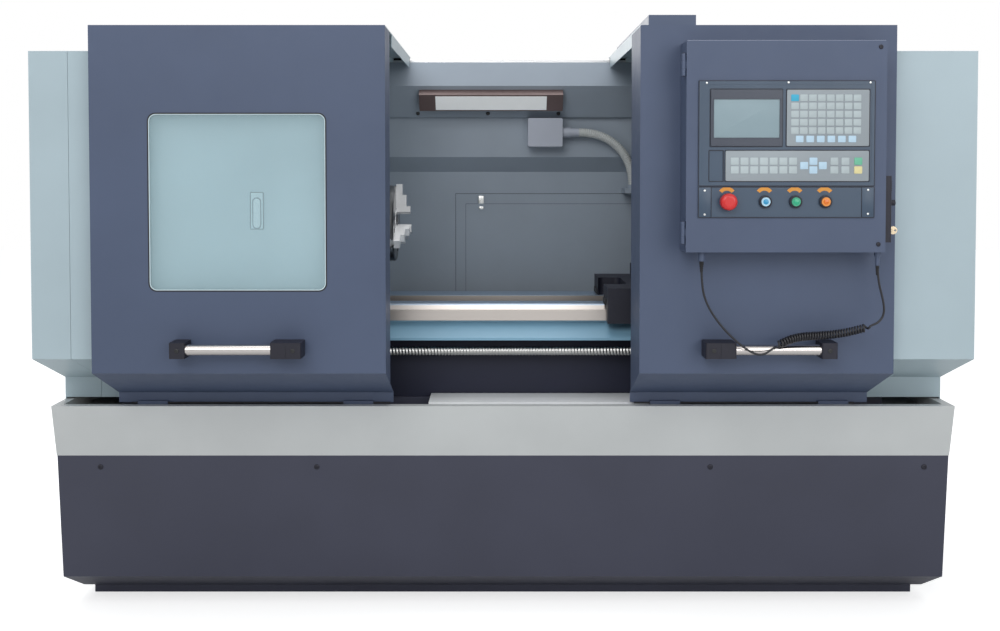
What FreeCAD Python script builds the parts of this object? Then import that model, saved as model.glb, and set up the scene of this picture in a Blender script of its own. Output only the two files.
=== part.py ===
import FreeCAD, Part
import math
import os

os.makedirs("parts", exist_ok=True)
V = FreeCAD.Vector

# A flat-bed turning lathe with sliding front doors.  Millimetres, +Z up.  The
# origin lies on the floor, below the spindle axis, halfway along the chip tray.
# +X runs along the bed towards the tailstock and -Y faces the operator.

# ---------------------------------------------------------------- general
gap = 0.3                    # clearance between separate pieces
running = 0.05               # radial clearance of a shaft in its bearing
sheet = 2.5                  # sheet-metal wall
half_length = 1350.0         # machine centre to either end
spindle_z = 1181.0           # spindle axis above the floor
centre_height = 250.0        # spindle axis above the bed ways
bed_top = spindle_z - centre_height

# ---------------------------------------------------------------- base and tray
plinth_height = 26.0
plinth_front = -150.0
plinth_rear = 490.0
plinth_inset = 38.0          # plinth end to the tray's end
plinth_half = half_length - plinth_inset
anchor_hole_r = 11.0
anchor_inset_x = 82.0
anchor_inset_y = 45.0
base_rear = 470.0
base_clear = 12.0            # base box to the outside of the tray apron
base_wall = 12.0
base_rib_xs = (-800.0, -270.0, 270.0, 800.0)
pocket_half = 46.0           # room for a spanner over each anchor hole
pocket_height = 120.0
core_half_width = 190.0      # foot under the bed
core_inset = 150.0
core_half_length = half_length - core_inset
bed_foot_z = 640.0
tray_front = -385.0
tray_rear = 500.0
tray_rim_z = 652.0
tray_floor_z = 612.0
tray_rim_width = 28.0
apron_bottom_z = 497.0
apron_lean = 25.0            # front apron, set back at its lower edge
apron_end_lean = 5.0
panel_lean = 35.0            # base front panel, set back at its lower edge
panel_end_inset = 2.0
panel_fold_z = 115.0
panel_toe_y = -159.0
panel_toe_z = 27.0
sump_x0 = -226.0
sump_x1 = 520.0
sump_front = -328.0
sump_rear = -193.0
sump_height = 40.0

# ---------------------------------------------------------------- bed
bed_inset = 200.0
bed_right = half_length - bed_inset
bed_left = -bed_right
bed_half_width = 205.0
web_front = -185.0
web_rear = 185.0
web_wall = 55.0
rail_depth = 47.0
rail_inner_front = -80.0
rail_inner_rear = 85.0
vee_front = -190.0
vee_depth = 14.0
vee_crest = 4.0
vee_margin = 8.0
bed_rib_count = 7
bed_rib_wall = 30.0
bed_rib_drop = 80.0

# ---------------------------------------------------------------- cabinets
door_top = 1762.0            # height of the doors' roofs, which the rest follows
cabinet_drop = 67.0
cabinet_top = door_top - cabinet_drop
ridge_drop = 20.0
ridge_z = door_top - ridge_drop
brow_drop = 87.0             # below the ridge, like the next three
brow_z = ridge_z - brow_drop
shelf_drop = 194.0
shelf_z = ridge_z - shelf_drop
band_drop = 338.0
band_z = ridge_z - band_drop
wall_drop = 392.0
wall_z = ridge_z - wall_drop
cabinet_front = -512.0
cabinet_fold_z = 815.0
cabinet_hem_y = -275.0
cabinet_hem_z = 719.0
cabinet_bottom = 657.0
left_inner_x = -480.0
end_cover_length = 111.0
left_seam_x = end_cover_length - half_length
seam = 1.0
right_inner_x = 560.0
ridge_y = 300.0
roof_rear = 430.0
brow_y = 255.0
shelf_y = 335.0
band_y = 355.0
wall_y = 405.0
bar_hole_r = 50.0
spindle_hole_r = 90.0

# ---------------------------------------------------------------- sliding doors
door_front = -562.0
door_fold_z = 783.0
door_hem_y = -342.0
door_hem_z = 685.0
door_bottom = 655.0
door_travel = 357.0
left_door_inset = 189.0
left_door_x0 = left_door_inset - half_length
left_door_x1 = -331.0
right_door_x0 = 384.0
right_door_inset = 249.0
right_door_x1 = half_length - right_door_inset
left_end_depth = 125.0       # closing plate at the meeting edge
right_end_depth = 204.0
outer_end_depth = 42.0
roof_sheet = 3.0
roof_lip = 40.0
window_inset = 164.0
window_x0 = left_door_x0 + window_inset
window_z0 = 1016.0
window_size = 500.0
window_r = 22.0
window_lap = 15.0
window_thickness = 6.0
top_rail_y = 315.0
top_rail_width = 20.0
top_rail_height = 8.0
foot_rail_y = -342.0
foot_rail_width = 18.0
foot_rail_height = 24.0
rail_over = 4.0
shoe_length = 90.0
shoe_inset = 60.0
shoe_cheek = 3.0

# ---------------------------------------------------------------- door handles
handle_z = 858.0
handle_inner_x = 558.0       # from the machine centre, both doors
handle_latch = 42.0
handle_long = 86.0
handle_bar_length = 235.0
handle_short = 44.0
handle_bar_r = 15.0
handle_stand = 50.0          # bar axis in front of the door
handle_block = 44.0
handle_block_stand = 70.0
handle_edge_r = 6.0

# ---------------------------------------------------------------- operator panel
box_x0 = 496.0
box_width = 543.0
box_z0 = 1133.0
box_height = 574.0
box_depth = 85.0
cover_depth = 15.0
cover_sheet = 3.0
plate_margin_x = 32.0
plate_top_drop = 108.0
upper_plate_height = 286.0
lower_plate_height = 85.0
plate_thickness = 3.0
plate_seam = 1.0
screen_inset_x = 33.0        # from the upper plate's left and top edges
screen_inset_z = 25.0
screen_width = 193.0
screen_height = 152.0
screen_stand = 4.0
glass_inset_x = 8.0
glass_inset_z = 26.0
glass_width = 178.0
glass_height = 104.0
glass_recess = 1.5
mdi_inset_x = 239.0
mdi_edge = 17.0              # right of both keypads to the plate's edge
mdi_columns = 10
mdi_rows = 6
operator_inset_x = 74.0
operator_drop = 190.0
operator_height = 82.0
operator_columns = 14
operator_rows = 2
key_stand = 1.5
key_gap = 4.0
blank_inset_x = 30.0
blank_width = 37.0
blank_recess = 1.5
button_drop = 41.0           # below the lower plate's top edge
button_insets = (182.0, 264.0, 345.0)
stop_inset = 80.0
button_r = 12.0
button_stem_r = 8.0
button_stem_length = 24.0
button_stand = 4.0
collar_wall = 4.5
collar_height = 7.0
stop_head_r = 23.0
stop_head_height = 22.0
stop_stem_r = 10.0
stop_travel_room = 9.0
hinge_r = 6.0
hinge_out = 7.0
hinge_knuckle = 20.0
hinge_lift = 23.0            # lower hinge above the box's floor
hinge_drop = 95.0            # upper hinge's foot below its top
lock_lift = 26.0
lock_z0 = box_z0 + lock_lift
lock_height = 182.0
lock_out = 22.0
lock_depth = 50.0
lock_knob_lift = 108.0
lock_knob_z = lock_z0 + lock_knob_lift
lock_knob_r = 8.0
lock_knob_out = 16.0
key_lift = 32.0
key_z = lock_z0 + key_lift
key_neck_r = 3.0
key_bow_r = 11.0
key_thickness = 2.4
key_length = 22.0

# ---------------------------------------------------------------- panel cord
cord_r = 3.0
cord_y = -638.0
left_gland_inset = 47.5
left_gland_x = box_x0 + left_gland_inset
right_gland_inset = 13.0
right_gland_x = box_x0 + box_width - right_gland_inset
gland_r = 9.0
left_gland_length = 26.0
right_gland_r = 6.0
right_gland_length = 38.0
curl_mean_r = 9.0
curl_pitch = 7.6
curl_stretch = 3.2           # pitch of the first and last turn, in ordinary ones
LEFT_LEAD = [(left_gland_x, cord_y, box_z0 - left_gland_length - gap), (543.5, -638.0, 1042.0),
             (558.0, -638.0, 988.0), (592.0, -638.0, 935.0), (632.0, -640.0, 893.0),
             (670.0, -644.0, 862.0), (708.0, -646.0, 846.0)]
CURLED = [(770.0, -640.0, 886.0), (818.0, -628.0, 898.0), (880.0, -623.0, 900.0),
          (942.0, -625.0, 907.0), (1001.0, -631.0, 923.5)]
RIGHT_LEAD = [(1030.0, -636.0, 937.0), (1043.0, -637.0, 953.0), (1047.0, -638.0, 975.0),
              (1041.0, -638.0, 1008.0), (1029.0, -638.0, 1052.0),
              (right_gland_x, cord_y, box_z0 - right_gland_length - gap)]
arc_share = 0.45             # part of the shorter run that an arc takes up

# ---------------------------------------------------------------- headstock, spindle, chuck
headstock_inset = 20.0
headstock_x0 = bed_left + headstock_inset
headstock_x1 = -500.0
headstock_half = 190.0
headstock_top = 1345.0
headstock_shoulder = 95.0
headstock_boss_r = 118.0
headstock_boss = 12.0
spindle_r = 60.0
spindle_bore_r = 41.0
flange_r = 85.0
flange_x0 = -480.0
chuck_x0 = -462.0
chuck_length = 110.0
chuck_r = 125.0
chuck_bore_r = 38.0
chuck_edge = 4.0
jaw_width = 28.0
jaw_inner_r = 30.0
jaw_tip = 8.0
jaw_steps = ((129.0, 20.0), (93.0, 33.0), (56.0, 46.0))
jaw_foot_width = 37.0
jaw_neck_depth = 8.0
jaw_foot_depth = 8.0
jaw_foot_outer_r = 112.0
jaw_angles = (90.0, 210.0, 330.0)
key_socket = 14.0
key_socket_depth = 22.0
spindle_pulley_r = 110.0
motor_pulley_r = 60.0
pulley_inset = 19.0
pulley_x0 = left_seam_x + pulley_inset
pulley_width = 55.0
pulley_groove = 4.0
pulley_grooves = 4
belt_thickness = 9.0
motor_y = 300.0
motor_z = 760.0
motor_r = 92.0
motor_shaft_r = 19.0
motor_length = 330.0
motor_stand = 10.0           # motor face behind its pulley
motor_x0 = pulley_x0 + pulley_width + motor_stand
motor_fins = 12
motor_fin = 6.0
motor_foot_half = 70.0
motor_foot_wall = 60.0

# ---------------------------------------------------------------- carriage
saddle_x0 = 326.0
saddle_length = 420.0
saddle_top = 990.0
saddle_front = -250.0
saddle_rear = 235.0
saddle_skirt_z = 880.0
saddle_rear_z = 900.0
saddle_arch_z = 945.0
bridge_inset = 75.0
bridge_front = -120.0
bridge_rear = 100.0
dovetail_width = 150.0
dovetail_height = 20.0
dovetail_slant = 12.0
slide_width = 200.0
slide_front = -305.0
slide_rear = 105.0
slide_height = 50.0
turret_y = -150.0
turret_side = 200.0
turret_base_height = 70.0
turret_head_height = 114.0
tool_height = 25.0           # tool shank below the spindle axis
tool_slot_height = 26.0
tool_slot_depth = 28.0
turret_bolt_r = 20.0
turret_bolt_height = 24.0
turret_chamfer = 6.0
clamp_screw_r = 6.0
clamp_screw_height = 12.0
clamp_screws_per_side = 3
screw_y = -235.0
screw_z = 793.0
screw_r = 16.0
screw_x0 = -470.0
screw_over = 30.0
screw_x1 = bed_right + screw_over
nut_length = 110.0
nut_wall = 27.0
nut_front = -292.0
nut_arm = 28.0
cover_top_z = 866.0
cover_edge_y = -255.0
cover_edge_z = 837.0
cover_x0 = -475.0
cover_lip = 8.0
support_width = 50.0
support_top = 826.0
support_bottom = 755.0
support_front = -272.0
left_support_x = -460.0
support_inset = 65.0
right_support_x = bed_right - support_inset
servo_side = 104.0
servo_length = 150.0
servo_can_inset = 6.0
servo_can_part = 0.7
cross_servo_side = 88.0
cross_servo_length = 145.0
cross_servo_z = 942.0

# ---------------------------------------------------------------- tailstock
tail_inset = 245.0
tail_x0 = bed_right - tail_inset
tail_length = 220.0
tail_base_half = 150.0
tail_neck_half = 60.0
tail_shoulder = 35.0
tail_barrel_r = 62.0
tail_base_height = 54.0
quill_r = 37.0
quill_out = 25.0
quill_length = 190.0
centre_r = 19.0
centre_length = 40.0
tail_clamp_r = 14.0
wheel_r = 100.0
wheel_rim_r = 9.0
wheel_spoke_r = 7.2
wheel_hub_r = 20.0
wheel_gap = 6.0
wheel_shaft_r = 12.0
wheel_grip_r = 8.1
wheel_grip_length = 60.0

# ---------------------------------------------------------------- rear wall fittings
hatch_x0 = -171.0
hatch_width = 900.0
hatch_z0 = 700.0
hatch_top_gap = 81.0
hatch_height = wall_z - hatch_top_gap - hatch_z0
hatch_seam = 1.5
hatch_fold = 18.0
hatch_border = 37.0
hatch_emboss = 2.0
latch_width = 26.0
latch_height = 42.0
latch_x = -91.0
latch_drop = 132.0
latch_z = wall_z - latch_drop
latch_stand = 4.0
hatch_hinge_r = 5.5
hatch_knuckle = 30.0
hatch_knuckle_inset = 70.0
entry_width = 60.0
entry_height = 17.0
lamp_x0 = -295.0
lamp_length = 510.0
lamp_height = 68.0
lamp_depth = 34.0
lamp_wall = 6.0
lamp_end = 58.0
lens_stand = 3.0
lamp_drop = 16.0
junction_x0 = 92.0
junction_width = 124.0
junction_drop = 107.0
junction_z0 = shelf_z - junction_drop
junction_height = 102.0
junction_depth = 64.0
conduit_r = 14.0
conduit_wall = 2.5
conduit_ribs = 40
conduit_rib_height = 2.0
gland_nut_r = 19.0
conduit_y = 320.0
conduit_rise = 51.0
conduit_z = junction_z0 + conduit_rise
conduit_gland_length = 60.0
entry_x = 470.0
conduit_bend = 105.0         # reach of the slanting run, both ways
entry_drop = 60.0
entry_z = wall_z - entry_drop
entry_gland_length = 13.0
CONDUIT = [(junction_x0 + junction_width + conduit_gland_length + gap, conduit_y, conduit_z),
           (entry_x - conduit_bend, conduit_y, conduit_z), (entry_x, conduit_y, conduit_z - conduit_bend),
           (entry_x, conduit_y, entry_z + entry_gland_length + gap)]
duct_x0 = 412.0
duct_width = 134.0
duct_height = 34.0
duct_front = -520.0
flush_latch_inset = 278.0
flush_latch_x = window_x0 + flush_latch_inset
flush_latch_z0 = 1190.0
flush_latch_width = 34.0
flush_latch_height = 102.0
flush_latch_stand = 4.0
electric_inset = 110.0
electric_x0 = electric_inset - half_length
electric_width = 860.0
electric_z0 = 780.0
electric_top_gap = 62.0
electric_height = ridge_z - roof_lip - electric_top_gap - electric_z0
electric_depth = 320.0
electric_wall = 2.5
electric_door = 22.0


# ================================================================ shape helpers
def box(x0, x1, y0, y1, z0, z1):
    """Block between two corners."""
    return Part.makeBox(x1 - x0, y1 - y0, z1 - z0, V(x0, y0, z0))


def rod(start, direction, length, radius):
    """Round bar from a start point."""
    return Part.makeCylinder(radius, length, V(*start), V(*direction))


def place(axis, a, b, along):
    """Point with the two given coordinates across an axis and one along it."""
    if axis == "x":
        return V(along, a, b)
    if axis == "y":
        return V(a, along, b)
    return V(a, b, along)


def prism(axis, points, start, end):
    """Outline in the plane across an axis, extruded from start to end."""
    corners = [place(axis, a, b, start) for a, b in points]
    face = Part.Face(Part.makePolygon(corners + corners[:1]))
    return face.extrude(place(axis, 0, 0, end - start))


def beside(points, distance):
    """Open path moved sideways to its left, with mitred corners."""
    ways = []
    for (a0, b0), (a1, b1) in zip(points, points[1:]):
        length = math.hypot(a1 - a0, b1 - b0)
        ways.append(((b0 - b1) / length, (a1 - a0) / length))
    first = ways[:1] + ways
    last = ways + ways[-1:]
    moved = []
    for (a, b), (na, nb), (ma, mb) in zip(points, first, last):
        scale = distance / (1 + na * ma + nb * mb)
        moved.append((a + scale * (na + ma), b + scale * (nb + mb)))
    return moved


def folded(points, x0, x1, wall=sheet):
    """Folded sheet along X, its thickness to the left of the (y, z) path."""
    return prism("x", points + beside(points, wall)[::-1], x0, x1)


def frustum(low, z0, high, z1):
    """Ruled block between two rectangles (x0, x1, y0, y1) at two heights."""
    wires = []
    for (x0, x1, y0, y1), z in ((low, z0), (high, z1)):
        corners = [V(x0, y0, z), V(x1, y0, z), V(x1, y1, z), V(x0, y1, z)]
        wires.append(Part.makePolygon(corners + corners[:1]))
    return Part.makeLoft(wires, True, True)


def turned(points, y, z):
    """Solid of revolution about the X direction from (x, radius) points."""
    corners = [V(x, y, z + r) for x, r in points]
    face = Part.Face(Part.makePolygon(corners + corners[:1]))
    return face.revolve(V(0, y, z), V(1, 0, 0), 360)


def joined(shapes):
    """One solid from touching or overlapping shapes."""
    whole = shapes[0]
    if len(shapes) > 1:
        whole = whole.fuse(shapes[1:])
    return whole.removeSplitter()


def rounded(shape, direction, radius):
    """Shape with every straight edge along a direction filleted."""
    edges = []
    for edge in shape.Edges:
        if isinstance(edge.Curve, Part.Line):
            span = edge.Vertexes[-1].Point - edge.Vertexes[0].Point
            if abs(span.dot(V(*direction))) > 0.999 * span.Length:
                edges.append(edge)
    return shape.makeFillet(radius, edges)


def blend(a, b, share):
    """Value between a and b."""
    return a + (b - a) * share


def corner_arc(enter, corner, leave):
    """Arc between two points whose tangents meet at the corner."""
    back = (enter - corner).normalize()
    ahead = (leave - corner).normalize()
    half_turn = (math.pi - back.getAngle(ahead)) / 2
    radius = (enter - corner).Length / math.tan(half_turn)
    rise = radius / math.cos(half_turn) - radius
    return Part.Arc(enter, corner + (back + ahead).normalize() * rise, leave).toShape(), radius


def tangent_edges(points):
    """Straight runs joined by tangent arcs, with the tightest arc radius."""
    spots = [V(*p) for p in points]
    edges = []
    start = spots[0]
    radii = []
    for before, here, after in zip(spots, spots[1:], spots[2:]):
        setback = arc_share * min((before - here).Length, (after - here).Length)
        enter = here + (before - here).normalize() * setback
        leave = here + (after - here).normalize() * setback
        arc, radius = corner_arc(enter, here, leave)
        edges += [Part.makeLine(start, enter), arc]
        start = leave
        radii.append(radius)
    edges.append(Part.makeLine(start, spots[-1]))
    return edges, min(radii)


def walk(edges, distance):
    """Point and direction at a distance along a chain of edges."""
    for edge in edges:
        if distance <= edge.Length or edge is edges[-1]:
            at = edge.getParameterByLength(min(distance, edge.Length))
            return edge.valueAt(at), edge.tangentAt(at)
        distance -= edge.Length


def pipe(edges, radius, name):
    """Round bar along edges; compares its volume with section times length."""
    path = Part.Wire(edges)
    first = edges[0].firstVertex().Point
    ring = Part.Wire([Part.makeCircle(radius, first, edges[0].tangentAt(edges[0].FirstParameter))])
    shell = Part.BRepOffsetAPI.MakePipeShell(path)
    shell.add(ring)
    shell.build()
    shell.makeSolid()
    solid = shell.shape()
    share = solid.Volume / (math.pi * radius ** 2 * path.Length)
    print(name, "length", round(path.Length, 1), "volume ratio", round(share, 4))
    return solid


def save(name, shape):
    """Write one named piece."""
    print(name, len(shape.Solids), shape.isValid(), round(shape.Volume / 1000))
    shape.exportStep(os.path.join("parts", name + ".step"))


# ================================================================ base and chip tray
def apron_rect(z, inset):
    """Outline of the tray's sloping apron at a height, moved inwards."""
    share = (tray_rim_z - z) / (tray_rim_z - apron_bottom_z)
    end = half_length - apron_end_lean * share - inset
    front = tray_front + apron_lean * share + inset
    rear = tray_rear - apron_end_lean * share - inset
    return (-end, end, front, rear)


def chip_tray():
    """Sheet pan with a rim, a sunk floor and sloping aprons all round."""
    below = apron_bottom_z - 10
    under_rim = tray_rim_z - sheet
    inner_x = half_length - tray_rim_width
    inner_front = tray_front + tray_rim_width
    inner_rear = tray_rear - tray_rim_width
    pan = frustum(apron_rect(apron_bottom_z, 0), apron_bottom_z, apron_rect(tray_rim_z, 0), tray_rim_z)
    void = frustum(apron_rect(below, sheet), below, apron_rect(under_rim, sheet), under_rim)
    well_wall = box(-inner_x - sheet, inner_x + sheet, inner_front - sheet, inner_rear + sheet,
                    tray_floor_z - sheet, tray_rim_z)
    well = box(-inner_x, inner_x, inner_front, inner_rear, tray_floor_z, tray_rim_z + 1)
    foot = box(-core_half_length - gap, core_half_length + gap, -core_half_width - gap,
               core_half_width + gap, tray_floor_z - 2 * sheet, tray_floor_z + sheet)
    return pan.cut(void.cut(well_wall)).cut(well).cut(foot)


def base_frame():
    """Welded base: plinth with anchor holes, closed cells, foot for the bed."""
    end = half_length - apron_end_lean - base_clear
    top = tray_floor_z - sheet - gap
    body = joined([
        box(-plinth_half, plinth_half, plinth_front, plinth_rear, 0, plinth_height),
        box(-end, end, plinth_front, base_rear, plinth_height, top),
        box(-core_half_length, core_half_length, -core_half_width, core_half_width, top, bed_foot_z)])
    walls = [-plinth_half + 3 * pocket_half, plinth_half - 3 * pocket_half]
    stations = sorted(walls + list(base_rib_xs))
    for x0, x1 in zip(stations, stations[1:]):
        body = body.cut(box(x0 + base_wall / 2, x1 - base_wall / 2, plinth_front + base_wall,
                            base_rear - base_wall, base_wall, top - base_wall))
    for side in (-1, 1):
        x = side * (plinth_half - anchor_inset_x)
        for y in (plinth_front + anchor_inset_y, plinth_rear - anchor_inset_y):
            across = sorted((x - side * pocket_half, side * (end + 1)))
            body = body.cut(rod((x, y, -1), (0, 0, 1), plinth_height + 2, anchor_hole_r))
            body = body.cut(box(across[0], across[1], y - pocket_half, y + pocket_half,
                                plinth_height, plinth_height + pocket_height))
    return body


def base_front_panel():
    """Leaning front sheet with a toe bevel, end plates and rear flanges."""
    end = half_length - apron_end_lean - panel_end_inset
    top = apron_bottom_z - gap
    back = plinth_front - gap
    front = [(tray_front + apron_lean, top), (tray_front + apron_lean + panel_lean, panel_fold_z),
             (panel_toe_y, panel_toe_z), (back, panel_toe_z)]
    panel = [folded(front, -end, end)]
    for side in (-1, 1):
        outer, inner = sorted((side * end, side * (end - sheet)))
        panel.append(prism("x", front + [(back, top)], outer, inner))
        outer, inner = sorted((side * end, side * (end - tray_rim_width)))
        panel.append(box(outer, inner, back - sheet, back, panel_toe_z, top))
    return joined(panel)


def sump_cover():
    """Low box over the coolant return, open below."""
    floor = tray_floor_z + gap
    top = tray_floor_z + sump_height
    cover = box(sump_x0, sump_x1, sump_front, sump_rear, floor, top)
    return cover.cut(box(sump_x0 + sheet, sump_x1 - sheet, sump_front + sheet, sump_rear - sheet,
                         floor - 1, top - sheet))


# ================================================================ bed
def vee_points(lift):
    """Profile of the front way from front to back, raised by a clearance."""
    valley = bed_top - vee_depth
    rear = vee_front + 2 * vee_depth + vee_crest
    points = [(-bed_half_width, valley), (vee_front, valley), (vee_front + vee_depth, bed_top),
              (rear - vee_depth, bed_top), (rear, valley), (rear + vee_margin, valley)]
    end = rear + vee_margin - lift
    raised = beside(points, lift)[1:-1]
    return [(-bed_half_width - lift, valley + lift)] + raised + [(end, valley + lift), (end, bed_top + lift)]


def bed():
    """Cast bed: two webs, a bottom plate, a vee way, a flat way and ribs."""
    floor = bed_foot_z + gap
    under = bed_top - rail_depth
    vee = vee_points(0)
    section = [(web_front, floor), (web_rear, floor), (web_rear, under), (bed_half_width, under),
               (bed_half_width, bed_top), (rail_inner_rear, bed_top), (rail_inner_rear, under),
               (web_rear - web_wall, under), (web_rear - web_wall, floor + web_wall),
               (web_front + web_wall, floor + web_wall), (web_front + web_wall, under),
               (rail_inner_front, under), (rail_inner_front, bed_top)]
    section += vee[::-1] + [(-bed_half_width, under), (web_front, under)]
    parts = [prism("x", section, bed_left, bed_right)]
    for i in range(bed_rib_count):
        x = blend(bed_left, bed_right, (i + 0.5) / bed_rib_count)
        parts.append(box(x - bed_rib_wall / 2, x + bed_rib_wall / 2, web_front + web_wall,
                         web_rear - web_wall, floor + web_wall, bed_top - bed_rib_drop))
    return joined(parts)


def screw_cover():
    """Sloping guard along the front of the bed, with a dripping lip."""
    back = web_front - gap - sheet
    slope = (cover_top_z - cover_edge_z) / (-bed_half_width - cover_edge_y)
    path = [(back, bed_top - rail_depth - gap), (back, cover_edge_z + slope * (back - cover_edge_y)),
            (cover_edge_y, cover_edge_z), (cover_edge_y, cover_edge_z - cover_lip)]
    return folded(path, cover_x0, bed_right)


def z_screw_supports():
    """Two bearing blocks of the lengthways screw, on the bed's front web."""
    blocks = []
    for x in (left_support_x, right_support_x):
        block = box(x, x + support_width, support_front, web_front - gap, support_bottom, support_top)
        bore = rod((x - 1, screw_y, screw_z), (1, 0, 0), support_width + 2, screw_r + running)
        blocks.append(block.cut(bore))
    return Part.Compound(blocks)


save("base_frame", base_frame())
save("base_front_panel", base_front_panel())
save("chip_tray", chip_tray())
save("sump_cover", sump_cover())
save("bed", bed())
save("screw_cover", screw_cover())
save("z_screw_supports", z_screw_supports())


# ================================================================ cabinets and rear wall
ROOF_BACK = blend(brow_y, ridge_y, (cabinet_top - sheet - brow_z) / (ridge_z - brow_z)) - 2 * gap
ROOF_MEET = blend(brow_y, ridge_y, (cabinet_top - brow_z) / (ridge_z - brow_z))
CABINET = [(ROOF_BACK, cabinet_top), (cabinet_front, cabinet_top), (cabinet_front, cabinet_fold_z),
           (cabinet_hem_y, cabinet_hem_z), (cabinet_hem_y, cabinet_bottom)]
REAR = [(roof_rear, ridge_z - roof_lip), (roof_rear, ridge_z), (ridge_y, ridge_z), (brow_y, brow_z),
        (shelf_y, shelf_z), (band_y, shelf_z), (band_y, band_z), (wall_y, wall_z),
        (wall_y, tray_floor_z + gap)]


def end_wall(x0, x1):
    """Outer end plate of the enclosure, standing on the tray rim."""
    foot = tray_rim_z + gap
    points = CABINET[1:-1] + [(cabinet_hem_y, foot), (roof_rear, foot), (roof_rear, ridge_z),
                              (ridge_y, ridge_z), (ROOF_MEET, cabinet_top)]
    return prism("x", points, x0, x1)


def left_end_cover():
    """Folded cover over the left end, with the hole for bar stock."""
    x0 = -half_length
    cover = joined([folded(CABINET, x0, left_seam_x), end_wall(x0, x0 + sheet)])
    return cover.cut(rod((x0 - 1, 0, spindle_z), (1, 0, 0), sheet + 2, bar_hole_r))


def left_cabinet():
    """Folded cabinet round the headstock."""
    return folded(CABINET, left_seam_x + seam, left_inner_x)


def left_inner_wall():
    """Wall between the headstock and the work space, over the bed."""
    x1 = left_inner_x
    floor = tray_floor_z + gap
    outer = beside(CABINET, sheet + gap)
    inner = beside(REAR, -gap)
    points = outer[:-1] + [(outer[-1][0], floor)] + inner[:2:-1]
    wall = prism("x", points, x1 - sheet, x1)
    bed_room = box(x1 - sheet - 1, x1 + 1, -bed_half_width - gap, bed_half_width + gap,
                   floor - 1, bed_top + gap)
    spindle_hole = rod((x1 - sheet - 1, 0, spindle_z), (1, 0, 0), sheet + 2, spindle_hole_r)
    return wall.cut(bed_room).cut(spindle_hole)


def right_cabinet():
    """Folded cabinet behind the right door, closed at the machine's end."""
    return joined([folded(CABINET, right_inner_x, half_length),
                   end_wall(half_length - sheet, half_length)])


def flush_latch():
    """Recessed paddle latch on the left cabinet's front."""
    x1 = flush_latch_x + flush_latch_width
    z1 = flush_latch_z0 + flush_latch_height
    back = cabinet_front - gap
    front = back - flush_latch_stand
    rim = flush_latch_stand
    body = box(flush_latch_x, x1, front, back, flush_latch_z0, z1)
    dish = box(flush_latch_x + rim, x1 - rim, front - 1, back - rim / 2, flush_latch_z0 + rim, z1 - rim)
    paddle = box(flush_latch_x + 2 * rim, x1 - 2 * rim, front, back, flush_latch_z0 + 3 * rim, z1 - 2 * rim)
    return joined([body.cut(dish), paddle])


HATCH_X1 = hatch_x0 + hatch_width
HATCH_TOP = hatch_z0 + hatch_height
HINGE_X = HATCH_X1 + 2
HINGE_Y = wall_y + hatch_fold + hatch_hinge_r + gap
HATCH_KNUCKLES = (hatch_z0 + hatch_knuckle_inset, HATCH_TOP - hatch_knuckle_inset - hatch_knuckle)


def rear_wall():
    """Folded rear wall and ridge, with the hatch opening and a cable entry."""
    end = half_length - sheet - gap
    rim_x = half_length - tray_rim_width - gap
    wall = folded(REAR, -end, end)
    entry = box(CONDUIT[-1][0] - entry_width / 2, CONDUIT[-1][0] + entry_width / 2,
                conduit_y - entry_width / 2, wall_y, entry_z - entry_height, entry_z)
    nut = rod((CONDUIT[-1][0], conduit_y, entry_z), (0, 0, 1), CONDUIT[-1][2] - gap - entry_z, gland_nut_r)
    leaf = HINGE_X + gap
    parts = [wall, entry, nut]
    for z in HATCH_KNUCKLES:
        for low in (z - hatch_knuckle - gap, z + hatch_knuckle + gap):
            parts.append(rod((HINGE_X, HINGE_Y, low), (0, 0, 1), hatch_knuckle, hatch_hinge_r))
            parts.append(box(leaf, HINGE_X + hatch_hinge_r, wall_y + sheet / 2, HINGE_Y,
                             low, low + hatch_knuckle))
    wall = joined(parts)
    for side in (-1, 1):
        x0, x1 = sorted((side * rim_x, side * (end + 1)))
        wall = wall.cut(box(x0, x1, wall_y - 1, wall_y + sheet + 1, tray_floor_z - 1, tray_rim_z + gap))
    return wall.cut(box(hatch_x0 - hatch_seam, HATCH_X1 + hatch_seam, wall_y - 1, wall_y + sheet + 1,
                        hatch_z0 - hatch_seam, HATCH_TOP + hatch_seam))


def rear_hatch():
    """Hinged hatch with folded edges, a raised field and a small latch."""
    back = wall_y + hatch_fold
    body = box(hatch_x0, HATCH_X1, wall_y, back, hatch_z0, HATCH_TOP)
    body = body.cut(box(hatch_x0 + sheet, HATCH_X1 - sheet, wall_y + sheet, back + 1,
                        hatch_z0 + sheet, HATCH_TOP - sheet))
    field = box(hatch_x0 + hatch_border, HATCH_X1 - hatch_border, wall_y - hatch_emboss, wall_y,
                hatch_z0 + hatch_border, HATCH_TOP - hatch_border)
    latch = box(latch_x, latch_x + latch_width, wall_y - hatch_emboss - latch_stand, wall_y,
                latch_z, latch_z + latch_height)
    parts = [body, field, latch]
    for z in HATCH_KNUCKLES:
        parts.append(rod((HINGE_X, HINGE_Y, z), (0, 0, 1), hatch_knuckle, hatch_hinge_r))
        parts.append(box(HATCH_X1 - sheet, HINGE_X, back - sheet, HINGE_Y, z, z + hatch_knuckle))
    return joined(parts)


def door_rails():
    """Guide rails of the sliding doors, on the ridge and on the tray floor."""
    x0 = left_door_x0 - rail_over
    x1 = right_door_x1 + rail_over
    top = box(x0, x1, top_rail_y - top_rail_width / 2, top_rail_y + top_rail_width / 2,
              ridge_z + gap, ridge_z + top_rail_height)
    foot = box(x0, x1, foot_rail_y - foot_rail_width / 2, foot_rail_y + foot_rail_width / 2,
               tray_floor_z + gap, tray_floor_z + foot_rail_height)
    return Part.Compound([top, foot])


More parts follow.
